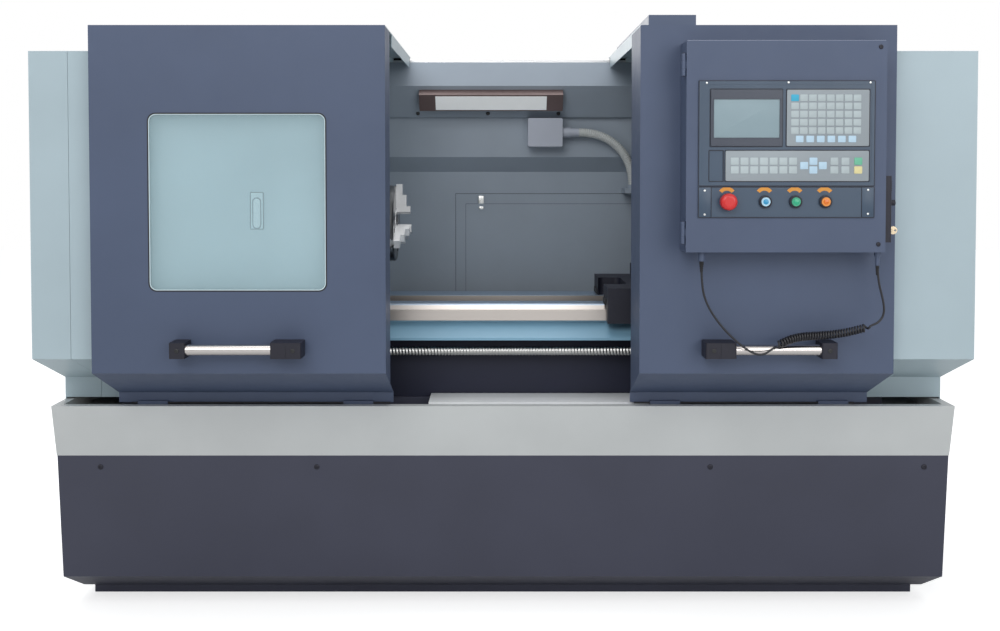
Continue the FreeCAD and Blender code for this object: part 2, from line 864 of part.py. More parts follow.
def electric_cabinet():
    """Closed switch cabinet behind the rear wall, with the line of its door."""
    y0 = wall_y + sheet + gap
    y1 = y0 + electric_depth
    x1 = electric_x0 + electric_width
    z1 = electric_z0 + electric_height
    body = box(electric_x0, x1, y0, y1, electric_z0, z1)
    outline = electric_door + electric_wall
    groove = box(electric_x0 + electric_door, x1 - electric_door, y1 - electric_wall, y1 + 1,
                 electric_z0 + electric_door, z1 - electric_door)
    door = box(electric_x0 + outline, x1 - outline, y1 - electric_wall, y1,
               electric_z0 + outline, z1 - outline)
    room = box(electric_x0 + electric_wall, x1 - electric_wall, y0 + electric_wall,
               y1 - 2 * electric_wall, electric_z0 + electric_wall, z1 - electric_wall)
    return joined([body.cut(groove), door]).cut(room)


# ================================================================ lamp, junction box, conduit
def lamp_box(x0, x1, along0, along1, out0, out1):
    """Block on the sloping band below the brow, in the band's own directions."""
    length = math.hypot(shelf_y - brow_y, shelf_z - brow_z)
    down = ((shelf_y - brow_y) / length, (shelf_z - brow_z) / length)
    out = (down[1], -down[0])
    corners = []
    for along, stand in ((along0, out0), (along1, out0), (along1, out1), (along0, out1)):
        corners.append((brow_y + along * down[0] + stand * out[0],
                        brow_z + along * down[1] + stand * out[1]))
    return prism("x", corners, x0, x1)


def lamp_housing():
    """Work lamp body with solid ends."""
    x1 = lamp_x0 + lamp_length
    foot = lamp_drop + lamp_height
    trough = lamp_box(lamp_x0 + lamp_end, x1 - lamp_end, lamp_drop + lamp_wall, foot - lamp_wall,
                      gap + lamp_wall, gap + lamp_depth + 1)
    return lamp_box(lamp_x0, x1, lamp_drop, foot, gap, gap + lamp_depth).cut(trough)


def lamp_lens():
    """Diffuser of the work lamp."""
    inset = lamp_wall + gap
    return lamp_box(lamp_x0 + lamp_end + gap, lamp_x0 + lamp_length - lamp_end - gap,
                    lamp_drop + inset, lamp_drop + lamp_height - inset,
                    inset + gap, gap + lamp_depth + lens_stand)


def junction_box():
    """Cable box on the rear wall with its gland towards the tailstock."""
    y1 = band_y - gap
    x1 = junction_x0 + junction_width
    body = box(junction_x0, x1, y1 - junction_depth, y1, junction_z0, junction_z0 + junction_height)
    body = rounded(body, (0, 1, 0), lamp_wall)
    end = CONDUIT[0][0] - gap - x1
    nut = rod((x1, conduit_y, conduit_z), (1, 0, 0), end / 2, gland_nut_r)
    neck = rod((x1, conduit_y, conduit_z), (1, 0, 0), end, conduit_r + conduit_rib_height)
    return joined([body, nut, neck])


def conduit():
    """Ribbed hose from the junction box to the entry in the rear wall."""
    edges, tightest = tangent_edges(CONDUIT)
    length = sum(edge.Length for edge in edges)
    print("conduit length", round(length, 1), "least bend radius", round(tightest, 1))
    steady = V(0, 1, 0)
    rings = []
    pitch = length / conduit_ribs
    for i in range(conduit_ribs):
        for share, swell in ((0.05, 0), (0.3, 1), (0.6, 1), (0.85, 0)):
            middle, ahead = walk(edges, (i + share) * pitch)
            rings.append((middle, ahead, conduit_r + swell * conduit_rib_height))
    rings = [(*walk(edges, 0), conduit_r)] + rings + [(*walk(edges, length), conduit_r)]
    outer = []
    inner = []
    for middle, ahead, radius in rings:
        for wires, size in ((outer, radius), (inner, conduit_r - conduit_wall)):
            circle = Part.Circle(middle, ahead, size)
            circle.XAxis = steady
            wires.append(Part.Wire([circle.toShape()]))
    return Part.makeLoft(outer, True, True).cut(Part.makeLoft(inner[::4] + inner[-1:], True, True))


save("left_end_cover", left_end_cover())
save("left_cabinet", left_cabinet())
save("left_inner_wall", left_inner_wall())
save("right_cabinet", right_cabinet())
save("flush_latch", flush_latch())
save("rear_wall", rear_wall())
save("rear_hatch", rear_hatch())
save("door_rails", door_rails())
save("electric_cabinet", electric_cabinet())
save("lamp_housing", lamp_housing())
save("lamp_lens", lamp_lens())
save("junction_box", junction_box())
save("conduit", conduit())


# ================================================================ sliding doors
def door_sheet(x0, x1, x_meet, meet_depth):
    """Door front: folded sheet with closing plates at both ends."""
    top = door_top
    hem = [(door_hem_y, door_hem_z), (door_hem_y, door_bottom)]
    parts = [folded([(door_front, top), (door_front, door_fold_z)] + hem, x0, x1)]
    slope = (door_fold_z - door_hem_z) / (door_front - door_hem_y)
    for x in (x0, x1 - sheet):
        at_meeting = abs(x - x_meet) <= sheet
        depth = meet_depth if at_meeting else outer_end_depth
        back = door_front + depth
        outline = [(door_front, top - roof_sheet - gap), (door_front, door_fold_z),
                   (back, door_fold_z + slope * depth), (back, top - roof_sheet - gap)]
        parts.append(prism("x", outline, x, x + sheet))
    half = foot_rail_width / 2 + gap
    rail_top = tray_floor_z + foot_rail_height + gap
    for x in (x0 + shoe_inset, x1 - shoe_inset - shoe_length):
        shoe = box(x, x + shoe_length, foot_rail_y - half - shoe_cheek, foot_rail_y + half + shoe_cheek,
                   tray_floor_z + 2 * shoe_cheek, door_bottom + 2 * shoe_cheek)
        parts.append(shoe.cut(box(x - 1, x + shoe_length + 1, foot_rail_y - half, foot_rail_y + half,
                                  tray_floor_z, rail_top)))
    return joined(parts)


def window_panel(grow, y0, y1):
    """Square block with rounded corners, set on the window's centre."""
    x0 = window_x0 - grow
    z0 = window_z0 - grow
    side = window_size + 2 * grow
    return rounded(box(x0, x0 + side, y0, y1, z0, z0 + side), (0, 1, 0), window_r)


def left_door():
    """Left sliding door with its window opening."""
    door = door_sheet(left_door_x0, left_door_x1, left_door_x1, left_end_depth)
    return door.cut(window_panel(0, door_front - 1, door_front + sheet + 1))


def right_door():
    """Right sliding door, which carries the operator panel."""
    return door_sheet(right_door_x0, right_door_x1, right_door_x0, right_end_depth)


def door_window():
    """Pane behind the window opening."""
    y0 = door_front + sheet + gap
    return window_panel(window_lap, y0, y0 + window_thickness)


def door_roof(x0, x1, x_lip, lip_out):
    """Roof sheet of a door with shoes over the top rail and a lip at one end."""
    front = door_front + sheet + gap
    under = door_top - roof_sheet
    half = top_rail_width / 2 + gap
    parts = [box(x0, x1, front, top_rail_y + half + shoe_cheek, under, door_top)]
    lip_x0, lip_x1 = sorted((x_lip, x_lip + lip_out * roof_sheet))
    parts.append(box(lip_x0, lip_x1, door_front + right_end_depth, ridge_y - roof_sheet - shoe_cheek * 5,
                     door_top - roof_lip, door_top))
    for x in (x0 + shoe_inset, x1 - shoe_inset - shoe_length):
        shoe = box(x, x + shoe_length, top_rail_y - half - shoe_cheek, top_rail_y + half + shoe_cheek,
                   ridge_z + 2, under)
        parts.append(shoe.cut(box(x - 1, x + shoe_length + 1, top_rail_y - half, top_rail_y + half,
                                  ridge_z, ridge_z + top_rail_height + gap)))
    return joined(parts)


def left_door_roof():
    """Roof of the left door."""
    return door_roof(left_door_x0, left_door_x1, left_door_x1, -1)


def right_door_roof():
    """Roof of the right door with the cable duct to the operator panel."""
    roof = door_roof(right_door_x0, right_door_x1, right_door_x0, 1)
    duct = box(duct_x0, duct_x0 + duct_width, duct_front, top_rail_y, door_top, door_top + duct_height)
    return joined([roof, duct])


# ================================================================ door handles
def handle_blocks(side):
    """Black end blocks of a handle: the long one holds the latch."""
    z0 = handle_z - handle_block / 2
    y1 = door_front - gap
    y0 = door_front - handle_block_stand
    bar = door_front - handle_stand
    blocks = []
    bar_start = handle_inner_x + handle_long
    bar_end = bar_start + handle_bar_length
    for start, end in ((handle_inner_x, bar_start), (bar_end, bar_end + handle_short)):
        x0, x1 = sorted((side * start, side * end))
        block = rounded(box(x0, x1, y0, y1, z0, z0 + handle_block), (0, 0, 1), handle_edge_r)
        socket = rod((side * (bar_start - 2 * handle_edge_r), bar, handle_z), (side, 0, 0),
                     handle_bar_length + 4 * handle_edge_r, handle_bar_r + gap)
        block = block.cut(socket)
        blocks.append(block)
    x0, x1 = sorted((side * (handle_inner_x + handle_latch), side * (handle_inner_x + handle_latch + 1)))
    blocks[0] = blocks[0].cut(box(x0, x1, y0 - 1, y0 + 1, z0, z0 + handle_block))
    return Part.Compound(blocks)


def handle_bar(side):
    """Round grip between the end blocks."""
    start = handle_inner_x + handle_long - 2 * handle_edge_r + gap
    length = handle_bar_length + 4 * handle_edge_r - 2 * gap
    return rod((side * start, door_front - handle_stand, handle_z), (side, 0, 0), length, handle_bar_r)


save("left_door", left_door())
save("left_door_roof", left_door_roof())
save("door_window", door_window())
save("left_handle_ends", handle_blocks(-1))
save("left_handle_bar", handle_bar(-1))
save("right_door", right_door())
save("right_door_roof", right_door_roof())
save("right_handle_ends", handle_blocks(1))
save("right_handle_bar", handle_bar(1))


# ================================================================ operator panel
BOX_X1 = box_x0 + box_width
BOX_Z1 = box_z0 + box_height
BOX_FACE = door_front - box_depth
COVER_FACE = BOX_FACE - cover_depth
PLATE_X0 = box_x0 + plate_margin_x
PLATE_X1 = BOX_X1 - plate_margin_x
UPPER_Z1 = BOX_Z1 - plate_top_drop
UPPER_Z0 = UPPER_Z1 - upper_plate_height
LOWER_Z1 = UPPER_Z0 - plate_seam
PLATE_BACK = COVER_FACE - gap
PLATE_FACE = PLATE_BACK - plate_thickness
button_z = LOWER_Z1 - button_drop
button_xs = [PLATE_X0 + inset for inset in button_insets]
stop_x = PLATE_X0 + stop_inset
PANEL_HINGE = (box_x0 - hinge_out, COVER_FACE + cover_depth / 2 - gap)


def hinge_stack(own, leaf_x1, leaf_y0, leaf_y1):
    """Knuckles of both panel hinges: the middle ones or the outer pairs."""
    x, y = PANEL_HINGE
    parts = []
    for base in (box_z0 + hinge_lift, BOX_Z1 - hinge_drop):
        for i in own:
            z = base + i * (hinge_knuckle + gap)
            parts.append(rod((x, y, z), (0, 0, 1), hinge_knuckle, hinge_r))
            parts.append(box(x - cover_sheet, x, min(y, leaf_y0), leaf_y1, z, z + hinge_knuckle))
            parts.append(box(x - cover_sheet, leaf_x1, leaf_y0, leaf_y1, z, z + hinge_knuckle))
    return parts


def panel_backbox():
    """Hollow box of the operator panel with hinge leaves and cord glands."""
    back = door_front - gap
    body = box(box_x0, BOX_X1, BOX_FACE, back, box_z0, BOX_Z1)
    inside = box(box_x0 + sheet, BOX_X1 - sheet, BOX_FACE - 1, back - sheet, box_z0 + sheet, BOX_Z1 - sheet)
    parts = [body.cut(inside)] + hinge_stack((0, 2), box_x0 + sheet / 2, BOX_FACE + 2, BOX_FACE + 8)
    for x, r, length in ((left_gland_x, gland_r, left_gland_length),
                         (right_gland_x, right_gland_r, right_gland_length)):
        nut = rod((x, cord_y, box_z0), (0, 0, -1), length / 3, gland_r)
        parts += [nut, rod((x, cord_y, box_z0), (0, 0, -1), length, r)]
    return joined(parts)


def panel_cover():
    """Hinged face of the operator panel, a shallow pan with button holes."""
    back = BOX_FACE - gap
    body = box(box_x0, BOX_X1, COVER_FACE, back, box_z0, BOX_Z1)
    body = body.cut(box(box_x0 + cover_sheet, BOX_X1 - cover_sheet, COVER_FACE + cover_sheet, back + 1,
                        box_z0 + cover_sheet, BOX_Z1 - cover_sheet))
    x, y = PANEL_HINGE
    cover = joined([body] + hinge_stack((1,), box_x0 + sheet / 2, y - cover_sheet, y))
    for x in button_xs:
        cover = cover.cut(rod((x, COVER_FACE - 1, button_z), (0, 1, 0), cover_depth, button_stem_r + gap))
    return cover.cut(rod((stop_x, COVER_FACE - 1, button_z), (0, 1, 0), cover_depth, stop_stem_r + gap))


def panel_plates():
    """Two face plates with a blanked recess and the buttons' collars."""
    upper = box(PLATE_X0, PLATE_X1, PLATE_FACE, PLATE_BACK, UPPER_Z0, UPPER_Z1)
    blank_x0 = PLATE_X0 + blank_inset_x
    top = UPPER_Z1 - operator_drop
    upper = upper.cut(box(blank_x0, blank_x0 + blank_width, PLATE_FACE - 1, PLATE_FACE + blank_recess,
                          top - operator_height, top))
    lower = box(PLATE_X0, PLATE_X1, PLATE_FACE, PLATE_BACK, LOWER_Z1 - lower_plate_height, LOWER_Z1)
    collar_r = button_r + gap + collar_wall
    for x in button_xs:
        lower = lower.fuse(rod((x, PLATE_FACE, button_z), (0, -1, 0), collar_height, collar_r))
        lower = lower.cut(rod((x, PLATE_FACE, button_z), (0, -1, 0), collar_height + 1, button_r + gap))
        lower = lower.cut(rod((x, PLATE_BACK + 1, button_z), (0, -1, 0), 9, button_stem_r + running))
    lower = lower.fuse(rod((stop_x, PLATE_FACE, button_z), (0, -1, 0), collar_height / 2, collar_r))
    lower = lower.cut(rod((stop_x, PLATE_BACK + 1, button_z), (0, -1, 0), 2 * collar_height,
                          stop_stem_r + running))
    return Part.Compound([upper, lower])


def lcd_screen():
    """Display: frame with a sunk glass."""
    x0 = PLATE_X0 + screen_inset_x
    z1 = UPPER_Z1 - screen_inset_z
    back = PLATE_FACE - gap
    face = back - screen_stand
    frame = box(x0, x0 + screen_width, face, back, z1 - screen_height, z1)
    frame = rounded(frame, (0, 1, 0), screen_stand)
    return frame.cut(box(x0 + glass_inset_x, x0 + glass_inset_x + glass_width, face - 1, face + glass_recess,
                         z1 - glass_inset_z - glass_height, z1 - glass_inset_z))


def keypad(x0, x1, z0, z1, columns, rows):
    """Membrane with a grid of raised keys."""
    back = PLATE_FACE - gap
    face = back - key_stand
    pad = box(x0, x1, face, back, z0, z1)
    pitch_x = (x1 - x0 - key_gap) / columns
    pitch_z = (z1 - z0 - key_gap) / rows
    keys = []
    for i in range(columns):
        for j in range(rows):
            kx = x0 + key_gap + i * pitch_x
            kz = z0 + key_gap + j * pitch_z
            keys.append(box(kx, kx + pitch_x - key_gap, face - key_stand, face, kz, kz + pitch_z - key_gap))
    return joined([pad] + keys)


def membrane_keypads():
    """Data keypad beside the display and the operator keypad below it."""
    x0 = PLATE_X0 + mdi_inset_x
    x1 = PLATE_X1 - mdi_edge
    z1 = UPPER_Z1 - screen_inset_z
    low = UPPER_Z1 - operator_drop
    return Part.Compound([
        keypad(x0, x1, z1 - screen_height, z1, mdi_columns, mdi_rows),
        keypad(PLATE_X0 + operator_inset_x, x1, low - operator_height, low,
               operator_columns, operator_rows)])


def push_button(x):
    """Round push button in its collar, with its stem through the cover."""
    face = PLATE_FACE - collar_height - button_stand
    head = rod((x, face, button_z), (0, 1, 0), collar_height - gap, button_r)
    stem = rod((x, face, button_z), (0, 1, 0), collar_height + button_stem_length, button_stem_r)
    return joined([head, stem])


def stop_button():
    """Mushroom stop button."""
    back = PLATE_FACE - stop_travel_room
    head = rod((stop_x, back, button_z), (0, -1, 0), stop_head_height, stop_head_r)
    rim = [e for e in head.Edges if isinstance(e.Curve, Part.Circle)
           and e.Curve.Center.y < back - 1]
    head = head.makeFillet(stop_head_height / 2, rim)
    stem = rod((stop_x, back - 1, button_z), (0, 1, 0), stop_travel_room + button_stem_length, stop_stem_r)
    return joined([head, stem])


LOCK_Y = BOX_FACE + lock_depth / 2
LOCK_FACE = BOX_X1 + gap + lock_out


def panel_lock():
    """Latch bar on the panel's right side with its knob and key socket."""
    body = box(BOX_X1 + gap, LOCK_FACE, BOX_FACE, BOX_FACE + lock_depth, lock_z0, lock_z0 + lock_height)
    body = rounded(body, (0, 0, 1), handle_edge_r)
    knob = rod((LOCK_FACE, LOCK_Y, lock_knob_z), (1, 0, 0), lock_knob_out, lock_knob_r)
    socket = rod((LOCK_FACE + 1, LOCK_Y, key_z), (-1, 0, 0), key_length / 2 + 1 + gap, key_neck_r + running)
    return joined([body, knob]).cut(socket)


def lock_key():
    """Key of the panel lock."""
    centre = LOCK_FACE + 5 * gap + key_bow_r
    bow = rod((centre, LOCK_Y - key_thickness / 2, key_z), (0, 1, 0), key_thickness, key_bow_r)
    hole = rod((centre + key_bow_r / 2, LOCK_Y - key_thickness, key_z), (0, 1, 0), 2 * key_thickness,
               key_bow_r / 4)
    neck = rod((LOCK_FACE - key_length / 2, LOCK_Y, key_z), (1, 0, 0), key_length, key_neck_r)
    return joined([bow.cut(hole), neck])


def midway(a, b):
    """Point halfway between two points."""
    return tuple(blend(p, q, 0.5) for p, q in zip(a, b))


def curl_point(edges, length, turns, turn):
    """Point of the curled part after a number of turns; it opens from the route."""
    opening = min(turn, 1) + max(turn - turns + 1, 0)
    travel = turn + (curl_stretch - 1) * opening
    middle, ahead = walk(edges, length * travel / (turns + 2 * (curl_stretch - 1)))
    side = ahead.cross(V(0, 1, 0)).normalize()
    up = side.cross(ahead)
    share = min(turn, turns - turn, 1.0)
    reach = curl_mean_r * share * share * (3 - 2 * share)
    angle = 2 * math.pi * turn
    return middle + side * (reach * math.cos(angle)) + up * (reach * math.sin(angle))


def curl_gap(edges, length, turns):
    """Least distance between the surfaces of neighbouring turns."""
    per_turn = 24
    spots = [curl_point(edges, length, turns, i / per_turn) for i in range(turns * per_turn + 1)]
    nearest = min((spots[i] - spots[j]).Length for i in range(len(spots))
                  for j in range(i + per_turn // 2, min(i + 2 * per_turn, len(spots))))
    return nearest - 2 * cord_r


def curls(route):
    """Arcs of the curled part: every half turn is joined by two tangent arcs."""
    edges, tightest = tangent_edges(route)
    length = sum(edge.Length for edge in edges)
    turns = round(length / curl_pitch - 2 * (curl_stretch - 1))
    step = 0.001
    stations = []
    for i in range(2 * turns + 1):
        turn = i / 2
        here = curl_point(edges, length, turns, turn)
        if i in (0, 2 * turns):
            ahead = walk(edges, length * turn / turns)[1]
        else:
            ahead = (curl_point(edges, length, turns, turn + step)
                     - curl_point(edges, length, turns, turn - step))
        stations.append((here, ahead.normalize()))
    arcs = []
    radii = []
    for (p, t), (q, u) in zip(stations, stations[1:]):
        span = q - p
        bend = 2 * (1 - t.dot(u))
        lean = span.dot(t + u)
        reach = (math.sqrt(lean ** 2 + bend * span.dot(span)) - lean) / bend
        first = p + t * reach
        second = q - u * reach
        joint = (first + second) * 0.5
        for enter, corner, leave in ((p, first, joint), (joint, second, q)):
            arc, radius = corner_arc(enter, corner, leave)
            arcs.append(arc)
            radii.append(radius)
    print("curls", turns, "least gap", round(curl_gap(edges, length, turns), 2),
          "least arc radius", round(min(radii), 1), "route radius", round(tightest, 1))
    return arcs


def panel_cord():
    """Curly cord below the panel: plain lead, curls over the handle, plain lead."""
    start = midway(LEFT_LEAD[-1], CURLED[0])
    end = midway(CURLED[-1], RIGHT_LEAD[0])
    left, left_radius = tangent_edges(LEFT_LEAD + [start])
    right, right_radius = tangent_edges([end] + RIGHT_LEAD)
    print("cord leads, least bend radii", round(left_radius, 1), round(right_radius, 1))
    edges = left + curls([start] + CURLED + [end]) + right
    return pipe(edges, cord_r, "panel_cord")


save("panel_cord", panel_cord())
save("panel_backbox", panel_backbox())
save("panel_cover", panel_cover())
save("panel_plates", panel_plates())
save("lcd_screen", lcd_screen())
save("membrane_keypads", membrane_keypads())
save("estop_button", stop_button())
save("blue_button", push_button(button_xs[0]))
save("green_button", push_button(button_xs[1]))
save("orange_button", push_button(button_xs[2]))
save("panel_lock", panel_lock())
save("lock_key", lock_key())


# ================================================================ headstock and drive
def headstock():
    """Cast headstock with sloping shoulders, front bearing boss and bore."""
    low = bed_top + gap
    high = headstock_top
    wide = headstock_half
    slope = headstock_shoulder
    body = prism("x", [(-wide, low), (wide, low), (wide, high - slope), (wide - slope, high),
                       (slope - wide, high), (-wide, high - slope)], headstock_x0, headstock_x1)
    boss = rod((headstock_x1, 0, spindle_z), (1, 0, 0), headstock_boss, headstock_boss_r)
    bore = rod((headstock_x0 - 1, 0, spindle_z), (1, 0, 0), headstock_x1 - headstock_x0 + headstock_boss + 2,
               spindle_r + running)
    return joined([body, boss]).cut(bore)


def grooved(radius):
    """Rim profile of a pulley as (x, radius) points, with belt grooves."""
    points = [(pulley_x0, radius)]
    pitch = pulley_width / pulley_grooves
    for i in range(pulley_grooves):
        middle = pulley_x0 + (i + 0.5) * pitch
        points += [(middle - pitch / 3, radius), (middle, radius - pulley_groove),
                   (middle + pitch / 3, radius)]
    return points + [(pulley_x0 + pulley_width, radius)]


def spindle():
    """Hollow spindle with its rear pulley and the chuck flange."""
    end = pulley_x0 - 5
    face = chuck_x0 - gap
    profile = [(end, spindle_bore_r), (end, spindle_r), (pulley_x0, spindle_r)]
    profile += grooved(spindle_pulley_r) + [(pulley_x0 + pulley_width, spindle_r)]
    profile += [(flange_x0, spindle_r), (flange_x0, flange_r), (face, flange_r), (face, spindle_bore_r)]
    return turned(profile, 0, spindle_z)


def motor_pulley():
    """Driving pulley on the motor shaft."""
    bore = motor_shaft_r + running
    x1 = pulley_x0 + pulley_width
    return turned([(pulley_x0, bore)] + grooved(motor_pulley_r) + [(x1, bore)], motor_y, motor_z)


def belt_outline(extra, x0, x1):
    """Solid hull of both pulleys, widened by a distance."""
    span = math.hypot(motor_y, motor_z - spindle_z)
    ahead = (motor_y / span, (motor_z - spindle_z) / span)
    across = (-ahead[1], ahead[0])
    tilt = (spindle_pulley_r - motor_pulley_r) / span
    level = math.sqrt(1 - tilt ** 2)
    shapes = []
    touch = []
    for y, z, radius in ((0, spindle_z, spindle_pulley_r + extra),
                         (motor_y, motor_z, motor_pulley_r + extra)):
        shapes.append(rod((x0, y, z), (1, 0, 0), x1 - x0, radius))
        for side in (1, -1):
            ny = ahead[0] * tilt + side * across[0] * level
            nz = ahead[1] * tilt + side * across[1] * level
            touch.append((y + radius * ny, z + radius * nz))
    corners = [touch[0], touch[1], touch[3], touch[2]]
    return joined(shapes + [prism("x", corners, x0, x1)])


def drive_belt():
    """Ribbed belt round both pulleys, a touch wider than their rims."""
    x0 = pulley_x0 + gap
    x1 = pulley_x0 + pulley_width - gap
    return belt_outline(gap + belt_thickness, x0, x1).cut(belt_outline(gap, x0 - 1, x1 + 1))


def spindle_motor():
    """Finned spindle motor on its foot, shaft towards the pulleys."""
    body = rod((motor_x0, motor_y, motor_z), (1, 0, 0), motor_length, motor_r)
    shaft = rod((pulley_x0 - 2, motor_y, motor_z), (1, 0, 0), motor_x0 - pulley_x0 + 4, motor_shaft_r)
    parts = [body, shaft]
    for i in range(motor_fins):
        fin = box(motor_x0 + motor_foot_wall / 2, motor_x0 + motor_length - motor_foot_wall / 2,
                  motor_y - motor_fin / 2, motor_y + motor_fin / 2, motor_z, motor_z + motor_r + motor_fin)
        fin.rotate(V(0, motor_y, motor_z), V(1, 0, 0), (i + 0.5) * 360 / motor_fins)
        parts.append(fin)
    for x in (motor_x0 + motor_foot_wall, motor_x0 + motor_length - 2 * motor_foot_wall):
        parts.append(box(x, x + motor_foot_wall, motor_y - motor_foot_half, motor_y + motor_foot_half,
                         tray_floor_z + gap, motor_z - motor_r / 2))
    return joined(parts)


# ================================================================ chuck
def around_spindle(shape, angle):
    """Shape drawn pointing up from the spindle axis, turned to an angle."""
    shape.rotate(V(0, 0, spindle_z), V(1, 0, 0), angle - 90)
    return shape


CHUCK_FACE = chuck_x0 + chuck_length


def radial_box(x0, x1, half_width, r0, r1):
    """Block between two radii above the spindle axis."""
    return box(x0, x1, -half_width, half_width, spindle_z + r0, spindle_z + r1)


def chuck_body():
    """Three-jaw chuck body with T-slots and square key sockets."""
    profile = [(chuck_x0, chuck_bore_r), (chuck_x0, chuck_r - chuck_edge), (chuck_x0 + chuck_edge, chuck_r),
               (CHUCK_FACE - chuck_edge, chuck_r), (CHUCK_FACE, chuck_r - chuck_edge),
               (CHUCK_FACE, chuck_bore_r)]
    body = turned(profile, 0, spindle_z)
    neck = CHUCK_FACE - jaw_neck_depth
    foot = neck - jaw_foot_depth
    for angle in jaw_angles:
        slot = radial_box(neck - 1, CHUCK_FACE + 1, jaw_width / 2 + gap, 0, chuck_r + 1)
        tee = radial_box(foot - gap, neck + gap, jaw_foot_width / 2 + gap, 0, chuck_r + 1)
        socket = radial_box(chuck_x0 + chuck_length / 2 - key_socket / 2 - 2 * chuck_edge,
                            chuck_x0 + chuck_length / 2 + key_socket / 2 - 2 * chuck_edge,
                            key_socket / 2, chuck_r - key_socket_depth, chuck_r + 1)
        body = body.cut(around_spindle(slot, angle)).cut(around_spindle(tee, angle))
        body = body.cut(around_spindle(socket, angle + 60))
    return body


def chuck_jaw(angle):
    """Stepped jaw with its T-foot and a wedge-shaped gripping edge."""
    neck = CHUCK_FACE - jaw_neck_depth
    foot = neck - jaw_foot_depth
    outer = jaw_steps[0][0]
    half = jaw_width / 2
    low = CHUCK_FACE + gap
    high = CHUCK_FACE
    outline = [(low, spindle_z + jaw_inner_r), (low, spindle_z + outer)]
    for radius, stand in jaw_steps:
        outline.append((high + stand, spindle_z + radius))
        inner = next((r for r, s in jaw_steps if r < radius), jaw_inner_r)
        outline.append((high + stand, spindle_z + inner))
    jaw = prism("y", outline, -half, half)
    stem = radial_box(neck - gap, low + 1, half, jaw_inner_r + jaw_tip, jaw_foot_outer_r)
    tee = radial_box(foot, neck, jaw_foot_width / 2, jaw_inner_r + jaw_tip, jaw_foot_outer_r)
    jaw = joined([jaw, stem, tee])
    for side in (-1, 1):
        tip = [(0, spindle_z + jaw_inner_r), (side * (half + 1), spindle_z + jaw_inner_r + jaw_tip),
               (side * (half + 1), spindle_z + jaw_inner_r - 1), (0, spindle_z + jaw_inner_r - 1)]
        jaw = jaw.cut(prism("x", tip, foot - 1, high + jaw_steps[-1][1] + 1))
    return around_spindle(jaw, angle)


# ================================================================ carriage and turret
SLIDE_X = saddle_x0 + saddle_length / 2
SLIDE_LOW = saddle_top + gap
SLIDE_TOP = saddle_top + slide_height
HEAD_LOW = SLIDE_TOP + turret_base_height + gap


def dovetail(extra, y0, y1, foot):
    """Dovetail rail across the saddle, widest at its top."""
    half = dovetail_width / 2 + extra
    top = saddle_top + dovetail_height + extra
    points = [(SLIDE_X - half + dovetail_slant, foot), (SLIDE_X - half, top), (SLIDE_X + half, top),
              (SLIDE_X + half - dovetail_slant, foot)]
    return prism("y", points, y0, y1)


def saddle():
    """H-shaped saddle on the ways, with dovetail rail, apron arm and screw nut."""
    x1 = saddle_x0 + saddle_length
    side = bed_half_width + gap
    under = bed_top + gap
    section = [(saddle_front, saddle_skirt_z), (saddle_front, saddle_top), (saddle_rear, saddle_top),
               (saddle_rear, saddle_rear_z), (side, saddle_rear_z), (side, under), (rail_inner_rear, under),
               (rail_inner_rear, saddle_arch_z), (rail_inner_front, saddle_arch_z),
               (rail_inner_front, under)]
    body = prism("x", section + vee_points(gap)[::-1] + [(-side, saddle_skirt_z)], saddle_x0, x1)
    for x in (saddle_x0 - 1, x1 - bridge_inset):
        notch = box(x, x + bridge_inset + 1, bridge_front, bridge_rear, saddle_skirt_z, saddle_top + 1)
        body = body.cut(rounded(notch, (0, 0, 1), bridge_inset / 4))
    half = nut_length / 2
    low = screw_z - nut_wall
    arm = box(SLIDE_X - half, SLIDE_X + half, nut_front, nut_front + nut_arm, low, saddle_top)
    link = box(SLIDE_X - half, SLIDE_X + half, nut_front, saddle_front + 1, saddle_skirt_z, saddle_top)
    nut = box(SLIDE_X - half, SLIDE_X + half, nut_front, screw_y + nut_wall, low, screw_z + nut_wall)
    bore = rod((SLIDE_X - half - 1, screw_y, screw_z), (1, 0, 0), nut_length + 2, screw_r + gap)
    rail = dovetail(0, saddle_front, saddle_rear, saddle_top - 1)
    return joined([body, arm, link, nut, rail]).cut(bore)


def cross_slide():
    """Cross slide over the dovetail rail."""
    half = slide_width / 2
    block = box(SLIDE_X - half, SLIDE_X + half, slide_front, slide_rear, SLIDE_LOW, SLIDE_TOP)
    return block.cut(dovetail(gap, slide_front - 1, slide_rear + 1, saddle_top - 1))


def turret_base():
    """Housing under the turret head."""
    half = slide_width / 2
    body = box(SLIDE_X - half, SLIDE_X + half, turret_y - half, turret_y + half,
               SLIDE_TOP + gap, SLIDE_TOP + turret_base_height)
    return rounded(body, (0, 0, 1), 2 * turret_chamfer)


